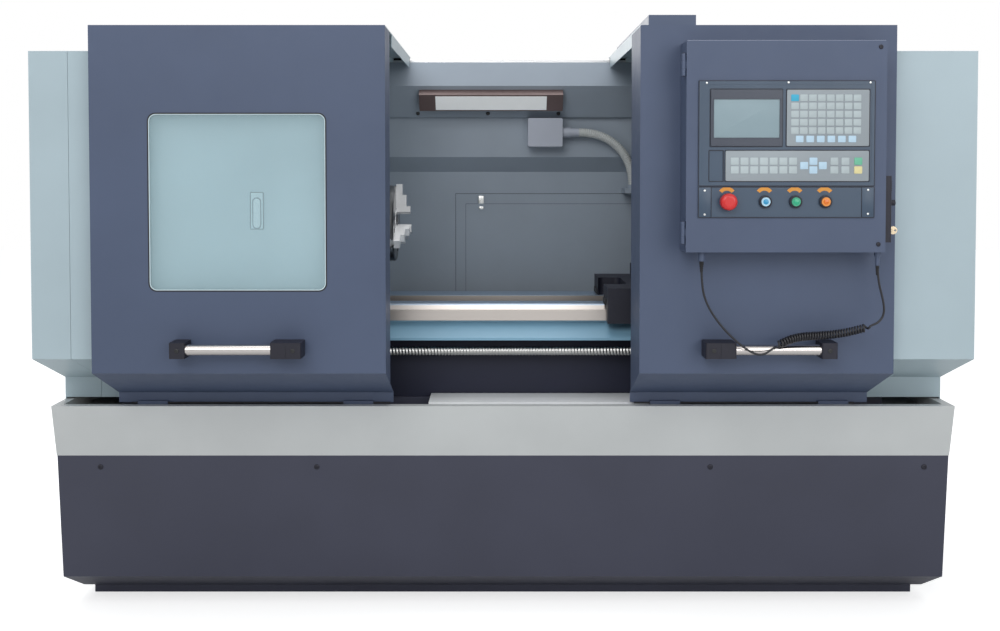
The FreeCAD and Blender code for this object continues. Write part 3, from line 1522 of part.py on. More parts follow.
def turret_head():
    """Square tool turret: tool slots all round, clamp screws and centre bolt."""
    half = turret_side / 2
    top = HEAD_LOW - gap + turret_head_height
    slot_floor = spindle_z - tool_height
    head = box(SLIDE_X - half, SLIDE_X + half, turret_y - half, turret_y + half, HEAD_LOW, top)
    head = rounded(head, (0, 0, 1), turret_chamfer)
    ring = box(SLIDE_X - half - 1, SLIDE_X + half + 1, turret_y - half - 1, turret_y + half + 1,
               slot_floor, slot_floor + tool_slot_height)
    core = half - tool_slot_depth
    core_block = box(SLIDE_X - core, SLIDE_X + core, turret_y - core, turret_y + core, slot_floor - 1,
                     slot_floor + tool_slot_height + 1)
    parts = [head.cut(ring.cut(core_block))]
    parts.append(rod((SLIDE_X, turret_y, top - 1), (0, 0, 1), turret_bolt_height, turret_bolt_r))
    for i in range(clamp_screws_per_side):
        along = blend(-half, half, (i + 1) / (clamp_screws_per_side + 1))
        for turn in range(4):
            screw = rod((SLIDE_X + along, turret_y - half + tool_slot_depth / 2, top - 1), (0, 0, 1),
                        clamp_screw_height, clamp_screw_r)
            screw.rotate(V(SLIDE_X, turret_y, 0), V(0, 0, 1), turn * 90)
            parts.append(screw)
    return joined(parts)


def z_ball_screw():
    """Lengthways screw, plain here, its thread is shallower than the fits."""
    return rod((screw_x0, screw_y, screw_z), (1, 0, 0), screw_x1 - screw_x0, screw_r)


def servo_motor(start, across, up, side, length, direction):
    """Square servo motor: front flange, stepped can and rear cover."""
    y_axis = direction == "y"
    parts = []
    begin = start
    for share, inset in ((0.12, 0.0), (servo_can_part, servo_can_inset), (0.18, 2 * servo_can_inset)):
        half = side / 2 - inset
        end = begin + share * length
        block = (box(across - half, across + half, begin, end, up - half, up + half) if y_axis
                 else box(begin, end, across - half, across + half, up - half, up + half))
        parts.append(rounded(block, (0, 1, 0) if y_axis else (1, 0, 0), servo_can_inset))
        begin = end
    return joined(parts)


def z_servo_motor():
    """Servo motor of the lengthways screw on its bracket at the bed's end."""
    half = servo_side / 2
    motor = servo_motor(screw_x1 + gap, screw_y, screw_z, servo_side, servo_length, "x")
    bracket = box(bed_right + gap, screw_x1 + 2 * gap, screw_y - half, web_front + 2 * web_wall,
                  screw_z - half, screw_z + half)
    bore = rod((bed_right, screw_y, screw_z), (1, 0, 0), screw_x1 + gap - bed_right, screw_r + 4)
    return joined([bracket.cut(bore), motor])


def x_servo_motor():
    """Servo motor of the cross slide, behind the saddle."""
    return servo_motor(saddle_rear + gap, SLIDE_X, cross_servo_z, cross_servo_side, cross_servo_length, "y")


# ================================================================ tailstock
def tailstock_body():
    """Tailstock: base on the flat ways, waisted neck, barrel and clamp bolt."""
    x1 = tail_x0 + tail_length
    low = bed_top + gap
    step = bed_top + tail_base_height
    wide = tail_base_half
    neck = tail_neck_half
    section = [(-wide, low), (wide, low), (wide, step), (neck, step + tail_shoulder), (neck, spindle_z),
               (-neck, spindle_z), (-neck, step + tail_shoulder), (-wide, step)]
    barrel = rod((tail_x0, 0, spindle_z), (1, 0, 0), tail_length, tail_barrel_r)
    bolt = rod((tail_x0 + tail_length / 2, neck - wide, low), (0, 0, 1), 2 * tail_base_height, tail_clamp_r)
    body = joined([prism("x", section, tail_x0, x1), barrel, bolt])
    body = body.cut(rod((tail_x0 - 1, 0, spindle_z), (1, 0, 0), quill_length - quill_out + 1 + wheel_gap,
                        quill_r + running))
    return body.cut(rod((tail_x0, 0, spindle_z), (1, 0, 0), tail_length + 1, wheel_shaft_r + running))


def tailstock_quill():
    """Quill with its dead centre."""
    nose = tail_x0 - quill_out
    profile = [(nose - centre_length, 0), (nose - centre_length / 3, centre_r), (nose, centre_r),
               (nose, quill_r), (nose + quill_length, quill_r), (nose + quill_length, 0)]
    return turned(profile, 0, spindle_z)


def tailstock_handwheel():
    """Handwheel with three spokes, hub, shaft and a turning grip."""
    hub_x = tail_x0 + tail_length + wheel_gap
    middle = hub_x + wheel_hub_r
    rim_r = wheel_r - wheel_rim_r
    rim = Part.makeTorus(rim_r, wheel_rim_r, V(middle, 0, spindle_z), V(1, 0, 0))
    parts = [rim, rod((hub_x, 0, spindle_z), (1, 0, 0), 2 * wheel_hub_r, wheel_hub_r)]
    shaft = 2 * wheel_hub_r
    parts.append(rod((hub_x - shaft, 0, spindle_z), (1, 0, 0), shaft + 1, wheel_shaft_r))
    for angle in jaw_angles:
        spoke = rod((middle, 0, spindle_z), (0, 0, 1), rim_r, wheel_spoke_r)
        parts.append(around_spindle(spoke, angle))
    parts.append(rod((middle, 0, spindle_z + rim_r), (1, 0, 0), wheel_grip_length, wheel_grip_r))
    whole = parts[0]
    return whole.fuse(parts[1:])


save("headstock", headstock())
save("spindle", spindle())
save("motor_pulley", motor_pulley())
save("drive_belt", drive_belt())
save("spindle_motor", spindle_motor())
save("chuck_body", chuck_body())
for number, jaw_angle in enumerate(jaw_angles, 1):
    save("chuck_jaw_%d" % number, chuck_jaw(jaw_angle))
save("saddle", saddle())
save("cross_slide", cross_slide())
save("turret_base", turret_base())
save("turret_head", turret_head())
save("z_ball_screw", z_ball_screw())
save("z_servo_motor", z_servo_motor())
save("x_servo_motor", x_servo_motor())
save("tailstock_body", tailstock_body())
save("tailstock_quill", tailstock_quill())
save("tailstock_handwheel", tailstock_handwheel())
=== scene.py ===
import logging
import math
from dataclasses import dataclass
from enum import Enum
from typing import Any, Callable, Iterable, Sequence

import bmesh
import bpy
from mathutils import Matrix, Vector


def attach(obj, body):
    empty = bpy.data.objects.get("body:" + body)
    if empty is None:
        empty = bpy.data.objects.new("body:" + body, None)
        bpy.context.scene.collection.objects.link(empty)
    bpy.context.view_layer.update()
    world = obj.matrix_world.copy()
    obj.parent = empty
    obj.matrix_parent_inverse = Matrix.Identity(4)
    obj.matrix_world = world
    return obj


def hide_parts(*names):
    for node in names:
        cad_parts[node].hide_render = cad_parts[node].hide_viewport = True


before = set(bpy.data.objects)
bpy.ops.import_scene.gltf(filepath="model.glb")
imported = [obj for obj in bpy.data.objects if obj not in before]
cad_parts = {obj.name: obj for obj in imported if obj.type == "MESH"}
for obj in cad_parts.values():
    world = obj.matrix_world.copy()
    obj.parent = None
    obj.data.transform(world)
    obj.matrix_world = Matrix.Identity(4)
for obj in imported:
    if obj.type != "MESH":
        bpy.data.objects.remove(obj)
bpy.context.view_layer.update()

LOG = logging.getLogger("lathe")
Point = tuple[float, float, float]
Test = Callable[[Vector, Vector], bool]
Thing = bpy.types.Object
SAME = 1e-6      # two lengths nearer than this are one, in metres
FOOT = 0.0004    # how far a piece's foot reaches into what it stands on
PARALLEL = 0.99  # share of a direction that lies along an axis when it's parallel to it
GLASS_IOR = 1.45


# ------------------------------------------------------------------ finishes
class Grain(Enum):
    """Small-scale relief of a finish: noise scale per axis, and its detail."""

    PEEL = ((420.0, 420.0, 420.0), 2.0)
    CASTING = ((160.0, 160.0, 160.0), 5.0)
    BRUSHED_X = ((9.0, 900.0, 900.0), 3.0)
    BRUSHED_ROUND = ((1400.0, 30.0, 30.0), 3.0)
    SMOOTH = ((60.0, 60.0, 60.0), 1.0)
    LEATHERY = ((1300.0, 1300.0, 1300.0), 2.0)


class Tree:
    """Short ways to add and join the nodes of a material or a world."""

    def __init__(self, owner: bpy.types.Material | bpy.types.World) -> None:
        """Take the owner's node tree."""
        owner.use_nodes = True
        self.nodes, self.links = owner.node_tree.nodes, owner.node_tree.links

    def feed(self, node: bpy.types.Node, inputs: dict[Any, Any]) -> bpy.types.Node:
        """Give inputs their values, or link sockets to them."""
        for key, value in inputs.items():
            if isinstance(value, bpy.types.NodeSocket):
                self.links.new(value, node.inputs[key])
            else:
                node.inputs[key].default_value = value
        return node

    def add(self, kind: str, inputs: dict[Any, Any] | None = None, **settings: Any) -> bpy.types.Node:
        """Add a shader node.

        Args:
            kind: Its type, without the ShaderNode in front.
            inputs: Values or sockets for its inputs.
            **settings: Its own properties.

        Returns:
            The node.
        """
        node = self.nodes.new(f"ShaderNode{kind}")
        for key, value in settings.items():
            setattr(node, key, value)
        return self.feed(node, inputs or {})

    def noise(self, coords: Any, scale: Point, detail: float, roughness: float = 0.5) -> Any:
        """Noise in metres, stretched by a scale per axis."""
        place = self.add("Mapping", {"Vector": coords, "Scale": scale}).outputs["Vector"]
        return self.add("TexNoise", {"Vector": place, "Scale": 1.0, "Detail": detail,
                                     "Roughness": roughness}).outputs["Fac"]

    def ramp(self, value: Any, low: float, high: float, dark: Sequence[float], light: Sequence[float],
             interpolation: str = "LINEAR") -> Any:
        """Two-stop colour ramp."""
        node = self.add("ValToRGB", {"Fac": value})
        node.color_ramp.interpolation = interpolation
        for i, (place, colour) in enumerate(((low, dark), (high, light))):
            node.color_ramp.elements[i].position = place
            node.color_ramp.elements[i].color = (*colour, 1)
        return node.outputs["Color"]

    def above(self, coords: Any, height: float) -> Any:
        """1 above a height, 0 below it."""
        z = self.add("SeparateXYZ", {0: coords}).outputs["Z"]
        return self.add("Math", {0: z, 1: height}, operation="GREATER_THAN").outputs[0]

    def over(self, shader: bpy.types.Node, mask: Any, colour: Any) -> None:
        """Lay a colour over the shader's own one where a mask is 1."""
        mix = self.add("Mix", {"Factor": mask, "A": shader.inputs["Base Color"].links[0].from_socket,
                               "B": colour}, data_type="RGBA")
        self.feed(shader, {"Base Color": mix.outputs["Result"]})


@dataclass(frozen=True)
class Finish:
    """One surface finish.

    Args:
        name: Name of the material.
        colour: Base colour, linear.
        roughness: Middle roughness.
        metallic: 1 for bare metal.
        grain: Relief of the surface.
        relief: Strength of that relief.
        mottle: How far the colour wanders.
        wear: Weight of the darker patches of use.
        coat: Weight of a clear coat.
        alpha: Opacity.
        glow: Emission strength.
        slot: The record's material slot of the pieces that wear it; not used.
    """

    name: str
    colour: Point
    roughness: float = 0.5
    metallic: float = 0.0
    grain: Grain = Grain.PEEL
    relief: float = 0.05
    mottle: float = 0.06
    wear: float = 0.0
    coat: float = 0.0
    alpha: float = 1.0
    glow: float = 0.0
    slot: str = ""

    def material(self) -> bpy.types.Material:
        """Build the node material once and hand it out after that."""
        name = f"{self.name}_finish"
        known = bpy.data.materials.get(name)
        if known:
            return known
        made = bpy.data.materials.new(name)
        tree = Tree(made)
        shader = tree.feed(tree.nodes["Principled BSDF"], {
            "Metallic": self.metallic, "IOR": GLASS_IOR, "Coat Weight": self.coat, "Alpha": self.alpha})
        if self.glow:
            tree.feed(shader, {"Emission Color": (*self.colour, 1), "Emission Strength": self.glow})
        coords = tree.add("TexCoord").outputs["Object"]
        self._colour(tree, shader, coords)
        scale, detail = self.grain.value
        bump = tree.add("Bump", {"Strength": self.relief, "Distance": 0.001,
                                 "Height": tree.noise(coords, scale, detail)})
        tree.feed(shader, {"Normal": bump.outputs["Normal"]})
        self._by_height(tree, shader, coords)
        return made

    def _colour(self, tree: Tree, shader: bpy.types.Node, coords: Any) -> None:
        """Colour and roughness that wander gently, darker where hands and oil reach."""
        dark = [c * (1 - self.mottle) for c in self.colour]
        light = [min(1.0, c * (1 + self.mottle)) for c in self.colour]
        clouds = tree.noise(coords, (3.1, 3.1, 3.1), 4.0)
        tree.feed(shader, {"Base Color": tree.ramp(clouds, 0.35, 0.65, dark, light)})
        if self.wear:
            smudge = tree.noise(coords, (11.0, 11.0, 17.0), 6.0, 0.62)
            mask = tree.ramp(smudge, 0.52, 0.74, (0, 0, 0), (self.wear,) * 3)
            tree.over(shader, mask, (*(c * 0.45 for c in self.colour), 1))
        rough = tree.add("MapRange", {"Value": tree.noise(coords, (23.0, 23.0, 23.0), 3.0),
                                      "To Min": max(0.02, self.roughness * 0.86),
                                      "To Max": min(1.0, self.roughness * 1.14)})
        tree.feed(shader, {"Roughness": rough.outputs["Result"]})

    def _by_height(self, tree: Tree, shader: bpy.types.Node, coords: Any) -> None:
        """What changes with the height: nothing on a plain finish."""


@dataclass(frozen=True)
class Ways(Finish):
    """Dark casting whose ground ways are bright above a height.

    Args:
        bright_z: Height above which the surface is ground.
        ground: Colour of the ground flanks, with a painted warm reflection of the floor.
        top: Colour of the ground tops, with a painted bluish reflection of the sky.
        top_z: Height above which the tops lie.
        polish: Roughness of the ground faces.
    """

    bright_z: float = 0.884
    ground: Point = (0.54, 0.50, 0.47)
    top: Point = (0.46, 0.57, 0.70)
    top_z: float = 0.9290
    polish: float = 0.36

    def _by_height(self, tree: Tree, shader: bpy.types.Node, coords: Any) -> None:
        """Casting below, ground metal above, its flanks and tops tinted with painted reflections."""
        z = tree.add("SeparateXYZ", {0: coords}).outputs["Z"]
        half = 0.0005
        step = tree.add("MapRange", {"Value": z, "From Min": self.bright_z - half,
                                     "From Max": self.bright_z + half}).outputs["Result"]
        # painted reflections: warm floor colour on the flanks, bluish sky colour on the tops
        reflection_tone = tree.ramp(tree.above(coords, self.top_z), 0.0, 0.5, self.ground, self.top, "CONSTANT")
        tree.over(shader, step, reflection_tone)
        polish = tree.add("MapRange", {"Value": step, "To Min": self.roughness, "To Max": self.polish})
        tree.feed(shader, {"Metallic": step, "Roughness": polish.outputs["Result"]})


@dataclass(frozen=True)
class Storeys(Finish):
    """Paint that changes to a second colour above a height.

    Args:
        step_z: Height of the change.
        upper: Colour above it.
    """

    step_z: float = 1.7625
    upper: Point = (0.069, 0.093, 0.157)

    def _by_height(self, tree: Tree, shader: bpy.types.Node, coords: Any) -> None:
        """Lower colour below, upper colour above."""
        tree.over(shader, tree.above(coords, self.step_z), (*self.upper, 1))


def moulded(name: str, colour: Point, roughness: float = 0.45, relief: float = 0.1, mottle: float = 0.06,
            slot: str = "keypad") -> Finish:
    """Plastic or rubber with a fine moulded texture."""
    return Finish(name, colour, roughness, 0.0, Grain.LEATHERY, relief, mottle, slot=slot)


def glossy(name: str, colour: Point, roughness: float = 0.30, relief: float = 0.03, coat: float = 0.3,
           slot: str = "", mottle: float = 0.06, **more: float) -> Finish:
    """Smooth plastic, paint or glass."""
    return Finish(name, colour, roughness, 0.0, Grain.SMOOTH, relief, mottle, 0.0, coat, slot=slot, **more)


def paint(name: str, colour: Point, roughness: float = 0.40, relief: float = 0.10, mottle: float = 0.04,
          slot: str = "", grain: Grain = Grain.PEEL, kind: type[Finish] = Finish) -> Finish:
    """Powder paint, or paint on a casting."""
    return kind(name, colour, roughness, 0.0, grain, relief, mottle, slot=slot)


def metal(name: str, colour: Point, roughness: float, grain: Grain, relief: float, mottle: float,
          wear: float = 0.0, metallic: float = 1.0, slot: str = "") -> Finish:
    """Bare metal."""
    return Finish(name, colour, roughness, metallic, grain, relief, mottle, wear, slot=slot)


class Kit(Enum):
    """The machine's finishes."""

    SLATE = paint("slate_paint", (0.069, 0.093, 0.157), 0.50, 0.12, 0.05)
    BASE_SLATE = paint("base_slate_paint", (0.047, 0.050, 0.077), 0.45, 0.12, 0.06, "black_plastic")
    PALE = paint("pale_paint", (0.42, 0.52, 0.565), mottle=0.03)
    ROOF = paint("roof_paint", (0.42, 0.52, 0.565), mottle=0.03, kind=Storeys)
    TRAY = paint("tray_paint", (0.53, 0.55, 0.55))
    # lighter slate: paints the highlight along the panel cover's top edge
    EDGE = paint("slate_edge", (0.30, 0.34, 0.44), 0.35, 0.05, 0.06, "door_paint")
    BOX = paint("box_paint", (0.42, 0.45, 0.52), 0.45, slot="pale_paint")
    COVER = paint("cover_paint", (0.22, 0.41, 0.55), mottle=0.05)
    WALL = paint("wall_paint", (0.31, 0.36, 0.42), 0.48, 0.12, 0.05)
    MOTOR = paint("motor_black", (0.020, 0.021, 0.023), 0.40, 0.15, 0.12, "motor_black")
    CASTING = paint("casting_paint", (0.012, 0.013, 0.024), 0.55, 0.35, 0.10, grain=Grain.CASTING)
    IRON = paint("cast_iron", (0.005, 0.007, 0.020), 0.60, 0.3, 0.15, grain=Grain.CASTING)
    BED = paint("cast_bed", (0.004, 0.006, 0.022), 0.60, 0.12, 0.15, grain=Grain.CASTING, kind=Ways)
    LAMP_BODY = metal("lamp_bronze", (0.15, 0.105, 0.10), 0.40, Grain.SMOOTH, 0.05, 0.10, metallic=0.3)
    GROUND = metal("ground_steel", (0.62, 0.63, 0.64), 0.28, Grain.BRUSHED_X, 0.18, 0.06, 0.15)
    TURNED = metal("turned_steel", (0.56, 0.57, 0.58), 0.26, Grain.BRUSHED_ROUND, 0.2, 0.07, 0.2,
                   slot="steel")
    CHUCK = metal("hardened_steel", (0.20, 0.205, 0.21), 0.34, Grain.BRUSHED_ROUND, 0.25, 0.12, 0.5)
    JAW = metal("jaw_steel", (0.82, 0.83, 0.84), 0.42, Grain.BRUSHED_X, 0.15, 0.08, 0.3, 0.55)
    SUMP = metal("sump_steel", (0.93, 0.95, 0.98), 0.38, Grain.BRUSHED_X, 0.10, 0.05, metallic=0.05)
    CHROME = metal("chrome_bar", (0.60, 0.565, 0.55), 0.16, Grain.SMOOTH, 0.02, 0.02)
    BRASS = metal("key_brass", (0.58, 0.48, 0.34), 0.25, Grain.SMOOTH, 0.05, 0.08)
    ZINC = metal("zinc_screws", (0.66, 0.67, 0.66), 0.30, Grain.SMOOTH, 0.05, 0.05, slot="chrome")
    THREAD = metal("screw_thread", (0.44, 0.44, 0.43), 0.24, Grain.SMOOTH, 0.05, 0.06, slot="steel")
    BLACK = moulded("black_plastic", (0.010, 0.010, 0.020), 0.48, 0.25, 0.15, "black_plastic")
    RUBBER = moulded("black_rubber", (0.014, 0.014, 0.016), 0.66, 0.3, 0.2, "black_plastic")
    SHEATH = moulded("cord_sheath", (0.016, 0.016, 0.020), 0.38, 0.2, 0.15, "cord_rubber")
    HOSE = moulded("hose_plastic", (0.56, 0.58, 0.57), 0.45, 0.2, slot="hose_plastic")
    PLATE = moulded("panel_plate", (0.050, 0.080, 0.125), 0.35, 0.08, slot="plate_face")
    SCREEN = moulded("screen_frame", (0.045, 0.055, 0.080), 0.30, 0.12, slot="screen")
    KEY_BED = moulded("key_bed", (0.31, 0.35, 0.38), 0.42)
    KEY_PALE = moulded("key_pale", (0.46, 0.53, 0.55))
    KEY_ICE = moulded("key_ice", (0.50, 0.68, 0.82))
    KEY_BLUE = moulded("key_blue", (0.05, 0.42, 0.62), slot="blue")
    KEY_GREEN = moulded("key_green", (0.16, 0.50, 0.33), slot="green")
    KEY_YELLOW = moulded("key_yellow", (0.78, 0.70, 0.36), slot="orange")
    LENS_BLUE = glossy("lens_blue", (0.03, 0.30, 0.55), 0.22, 0.02, 0.4, "blue")
    LENS_GREEN = glossy("lens_green", (0.02, 0.42, 0.22), 0.22, 0.02, 0.4, "green")
    LENS_ORANGE = glossy("lens_orange", (0.75, 0.17, 0.01), 0.22, 0.02, 0.4, "orange")
    RED = glossy("stop_red", (0.62, 0.018, 0.018), slot="red")
    SKY = glossy("button_sky", (0.42, 0.66, 0.80))
    GREEN = glossy("button_green", (0.03, 0.36, 0.20))
    AMBER = glossy("button_amber", (0.80, 0.27, 0.03))
    ARC = glossy("arc_amber", (0.70, 0.30, 0.05), 0.50, 0.02, 0.0, "orange")
    # pale glossy colour: on the window bead it paints the highlight round the pane's edge; the flush latch
    # wears it as its own pale colour
    BEAD = glossy("window_highlight_bead", (0.62, 0.74, 0.78), 0.25, 0.02, 0.0, "window_glass")
    SCREEN_GLASS = glossy("screen_glass", (0.26, 0.35, 0.39), 0.55, 0.02, 0.1, "screen")
    GLASS = glossy("window_pane", (0.55, 0.76, 0.82), 0.06, 0.01, 0.0, mottle=0.04, alpha=0.30)
    LENS = glossy("lamp_diffuser", (0.88, 0.90, 0.90), 0.35, 0.02, 0.0, glow=0.12)


# ------------------------------------------------------------------ bench work
class Bench:
    """Hand work with Blender's own tools, in metres and in the machine's frame."""

    WAYS = {"x": Vector((1, 0, 0)), "y": Vector((0, 1, 0)), "z": Vector((0, 0, 1))}
    TURNS = {"x": (0, math.pi / 2, 0), "y": (math.pi / 2, 0, 0), "z": (0, 0, 0)}

    @staticmethod
    def way(facing: str) -> Vector:
        """Unit vector of an axis letter, with a minus for the other way."""
        return Bench.WAYS[facing[-1]] * (-1 if facing[0] == "-" else 1)

    @staticmethod
    def pick(*objs: Thing) -> None:
        """Leave edit mode and select these objects alone, the first one active."""
        if bpy.context.object and bpy.context.object.mode != "OBJECT":
            bpy.ops.object.mode_set(mode="OBJECT")
        bpy.ops.object.select_all(action="DESELECT")
        for obj in objs:
            obj.select_set(True)
        if objs:
            bpy.context.view_layer.objects.active = objs[0]

    @staticmethod
    def settle() -> Thing:
        """Move the active object's place into its mesh and hand it out."""
        bpy.ops.object.transform_apply(location=True, rotation=True, scale=True)
        return bpy.context.object

    @staticmethod
    def choose(obj: Thing, kind: str, test: Test) -> None:
        """Enter edit mode with the edges or faces that a test picks.

        Args:
            obj: The piece.
            kind: "EDGE" or "FACE".
            test: Takes an edge's two ends, or a face's centre and normal.
        """
        Bench.pick(obj)
        bpy.ops.object.mode_set(mode="EDIT")
        bpy.ops.mesh.select_mode(type=kind)
        bpy.ops.mesh.select_all(action="DESELECT")
        mesh = bmesh.from_edit_mesh(obj.data)
        for part in mesh.edges if kind == "EDGE" else mesh.faces:
            pair = (part.verts[0].co, part.verts[1].co) if kind == "EDGE" else (
                part.calc_center_median(), part.normal)
            part.select_set(test(*pair))
        bmesh.update_edit_mesh(obj.data)

    @staticmethod
    def round_edges(obj: Thing, width: float, segments: int = 2, test: Test = lambda a, b: True) -> None:
        """Bevel the edges that a test picks by their two ends."""
        Bench.choose(obj, "EDGE", test)
        bpy.ops.mesh.bevel(offset=width, segments=segments, profile=0.5, clamp_overlap=True)
        bpy.ops.object.mode_set(mode="OBJECT")

    @staticmethod
    def sink(obj: Thing, test: Test, rim: float, move: Sequence[float]) -> None:
        """Inset the faces that a test picks and push them along a vector."""
        Bench.choose(obj, "FACE", test)
        bpy.ops.mesh.inset(thickness=rim)
        bpy.ops.mesh.extrude_region_move(TRANSFORM_OT_translate={"value": tuple(move)})
        bpy.ops.object.mode_set(mode="OBJECT")

    @staticmethod
    def block(low: Point, high: Point, bevel: float = 0.0) -> Thing:
        """Cube stretched between two corners, with its edges rounded over."""
        Bench.pick()
        bpy.ops.mesh.primitive_cube_add(size=1, location=[(a + b) / 2 for a, b in zip(low, high)])
        bpy.context.object.scale = [b - a for a, b in zip(low, high)]
        obj = Bench.settle()
        if bevel:
            Bench.round_edges(obj, bevel)
        return obj

    @staticmethod
    def slab(low: Point, high: Point, axis: int, corner: float, edge: float = 0.0) -> Thing:
        """Slab whose outline has round corners.

        Args:
            low: Lowest corner.
            high: Highest corner.
            axis: 0, 1 or 2, the axis along its thickness.
            corner: Radius of the outline's corners.
            edge: Rounding of all the other edges.

        Returns:
            The new object.
        """
        obj = Bench.block(low, high)
        through = (high[axis] - low[axis]) * PARALLEL
        Bench.round_edges(obj, corner, 6, lambda a, b: abs((a - b)[axis]) > through)
        if edge:
            Bench.round_edges(obj, edge, 2, lambda a, b: abs((a - b)[axis]) < SAME)
        return obj

    @staticmethod
    def ring(low: Point, high: Point, axis: int, corner: float, wall: float) -> Thing:
        """Rounded frame: a slab with a rounded opening, a wall thick all round."""
        past, least = 0.01, 0.001
        reach = [-past if i == axis else wall for i in range(3)]
        near, far = [a + r for a, r in zip(low, reach)], [b - r for b, r in zip(high, reach)]
        opening = Bench.slab(near, far, axis, max(corner - wall, least))
        return Bench.drill(Bench.slab(low, high, axis, corner), opening)

    @staticmethod
    def tube(start: Sequence[float], axis: str, length: float, radius: float, sides: int = 32,
             bevel: float = 0.0, segments: int = 2) -> Thing:
        """Cylinder from a start point along one axis, its two rims rounded.

        Args:
            start: Centre of the first end.
            axis: "x", "y" or "z", with a minus for the other way.
            length: Length along the axis.
            radius: Radius.
            sides: Number of flats round it.
            bevel: Width of the rim rounding.
            segments: Faces across the rounding.

        Returns:
            The new object.
        """
        Bench.pick()
        way = Bench.way(axis)
        bpy.ops.mesh.primitive_cylinder_add(vertices=sides, radius=radius, depth=length,
                                            location=Vector(start) + way * (length / 2),
                                            rotation=Bench.TURNS[axis[-1]])
        obj = Bench.settle()
        if bevel:
            Bench.round_edges(obj, bevel, segments, lambda a, b: abs((a - b).dot(way)) < SAME)
        return obj

    @staticmethod
    def drill(obj: Thing, *cutters: Thing) -> Thing:
        """Cut other pieces out of a piece and throw them away."""
        for cutter in cutters:
            Bench.pick(obj)
            cut = obj.modifiers.new("Boolean", "BOOLEAN")
            cut.operation, cut.solver, cut.object = "DIFFERENCE", "EXACT", cutter
            bpy.ops.object.modifier_apply(modifier=cut.name)
            bpy.data.objects.remove(cutter)
        return obj

    @staticmethod
    def copies(obj: Thing, places: Iterable[Matrix | Sequence[float]]) -> list[Thing]:
        """Copies of a pattern, each with its own mesh; the pattern goes.

        Args:
            obj: The pattern, which is removed.
            places: Matrix or shift of each copy.

        Returns:
            The copies.
        """
        made = []
        for place in places:
            twin = obj.copy()
            twin.data = obj.data.copy()
            twin.data.transform(place if isinstance(place, Matrix) else Matrix.Translation(place))
            bpy.context.scene.collection.objects.link(twin)
            made.append(twin)
        bpy.data.objects.remove(obj)
        return made

    @staticmethod
    def weld(objs: Sequence[Thing]) -> Thing:
        """Join pieces into one object."""
        Bench.pick(*objs)
        if len(objs) > 1:
            bpy.ops.object.join()
        return bpy.context.object

    @staticmethod
    def blank() -> tuple[Thing, bmesh.types.BMesh]:
        """Object with nothing in its mesh yet, in edit mode."""
        Bench.pick()
        bpy.ops.mesh.primitive_plane_add(size=1)
        bpy.ops.object.mode_set(mode="EDIT")
        mesh = bmesh.from_edit_mesh(bpy.context.object.data)
        bmesh.ops.delete(mesh, geom=mesh.verts[:], context="VERTS")
        return bpy.context.object, mesh

    @staticmethod
    def close_up(obj: Thing) -> Thing:
        """Turn the normals outward and leave edit mode."""
        bpy.ops.mesh.select_all(action="SELECT")
        bpy.ops.mesh.normals_make_consistent(inside=False)
        bpy.ops.object.mode_set(mode="OBJECT")
        return obj

    @staticmethod
    def skin(rings: Sequence[Sequence[Vector]]) -> Thing:
        """Closed skin through equal rings of points, with a face over each end."""
        obj, mesh = Bench.blank()
        loops = [[mesh.verts.new(spot) for spot in ring] for ring in rings]
        for a, b in zip(loops, loops[1:]):
            for k in range(len(a)):
                after = (k + 1) % len(a)
                mesh.faces.new((a[k], a[after], b[after], b[k]))
        mesh.faces.new(loops[0])
        mesh.faces.new(loops[-1])
        bmesh.update_edit_mesh(obj.data)
        return Bench.close_up(obj)

    @staticmethod
    def lathe(profile: Sequence[tuple[float, float]], steps: int) -> Thing:
        """Turn (x, radius) points about the X axis, from one closed end to the other."""
        obj, mesh = Bench.blank()
        verts = [mesh.verts.new((x, 0, r)) for x, r in profile]
        for a, b in zip(verts, verts[1:]):
            mesh.edges.new((a, b))
        bmesh.update_edit_mesh(obj.data)
        bpy.ops.mesh.select_all(action="SELECT")
        bpy.ops.mesh.spin(steps=steps, angle=math.tau, center=(0, 0, 0), axis=(1, 0, 0))
        bpy.ops.mesh.select_all(action="SELECT")
        bpy.ops.mesh.remove_doubles(threshold=SAME)
        return Bench.close_up(obj)

    @staticmethod
    def screws(spots: Iterable[Point], facing: str, radius: float, height: float) -> list[Thing]:
        """Domed screw heads with sunk sockets, one pattern copied to each spot.

        Args:
            spots: Where the heads sit.
            facing: The way the heads look.
            radius: Radius of a head.
            height: How far it stands out.

        Returns:
            The heads.
        """
        way = Bench.way(facing)
        head = Bench.tube(way * -FOOT / 2, facing, height, radius, 20)
        Bench.round_edges(head, radius * 0.35, 3, lambda a, b: min(a.dot(way), b.dot(way)) > height * 0.5)
        Bench.sink(head, lambda c, n: c.dot(way) > height * 0.7 and n.dot(way) > PARALLEL, radius * 0.22,
                   way * -height * 0.5)
        return Bench.copies(head, spots)


def dress(node: str, finish: Kit) -> None:
    """Give a CAD node one finish in place of its slots."""
    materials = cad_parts[node].data.materials
    materials.clear()
    materials.append(finish.value.material())


def hang(name: str, parts: Thing | Sequence[Thing], body: str, finish: Kit,
         smooth: float = 35.0, replaces: Sequence[str] = ()) -> Thing:
    """Weld parts into a piece and finish it: material, smoothing and body.

    Args:
        name: Name of the piece.
        parts: Its parts.
        body: CAD body that carries it.
        finish: Its finish.
        smooth: Edges flatter than this many degrees are shaded smooth.
        replaces: CAD nodes that it stands for.

    Returns:
        The piece.
    """
    obj = Bench.weld([parts] if isinstance(parts, Thing) else parts)
    obj.name = obj.data.name = name
    obj.data.materials.clear()
    obj.data.materials.append(finish.value.material())
    if obj.type == "MESH":
        bpy.ops.object.shade_smooth_by_angle(angle=math.radians(smooth))
    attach(obj, body)
    if replaces:
        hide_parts(*replaces)
    LOG.info("%s rides on %s in %s", name, body, finish.value.name)
    return obj


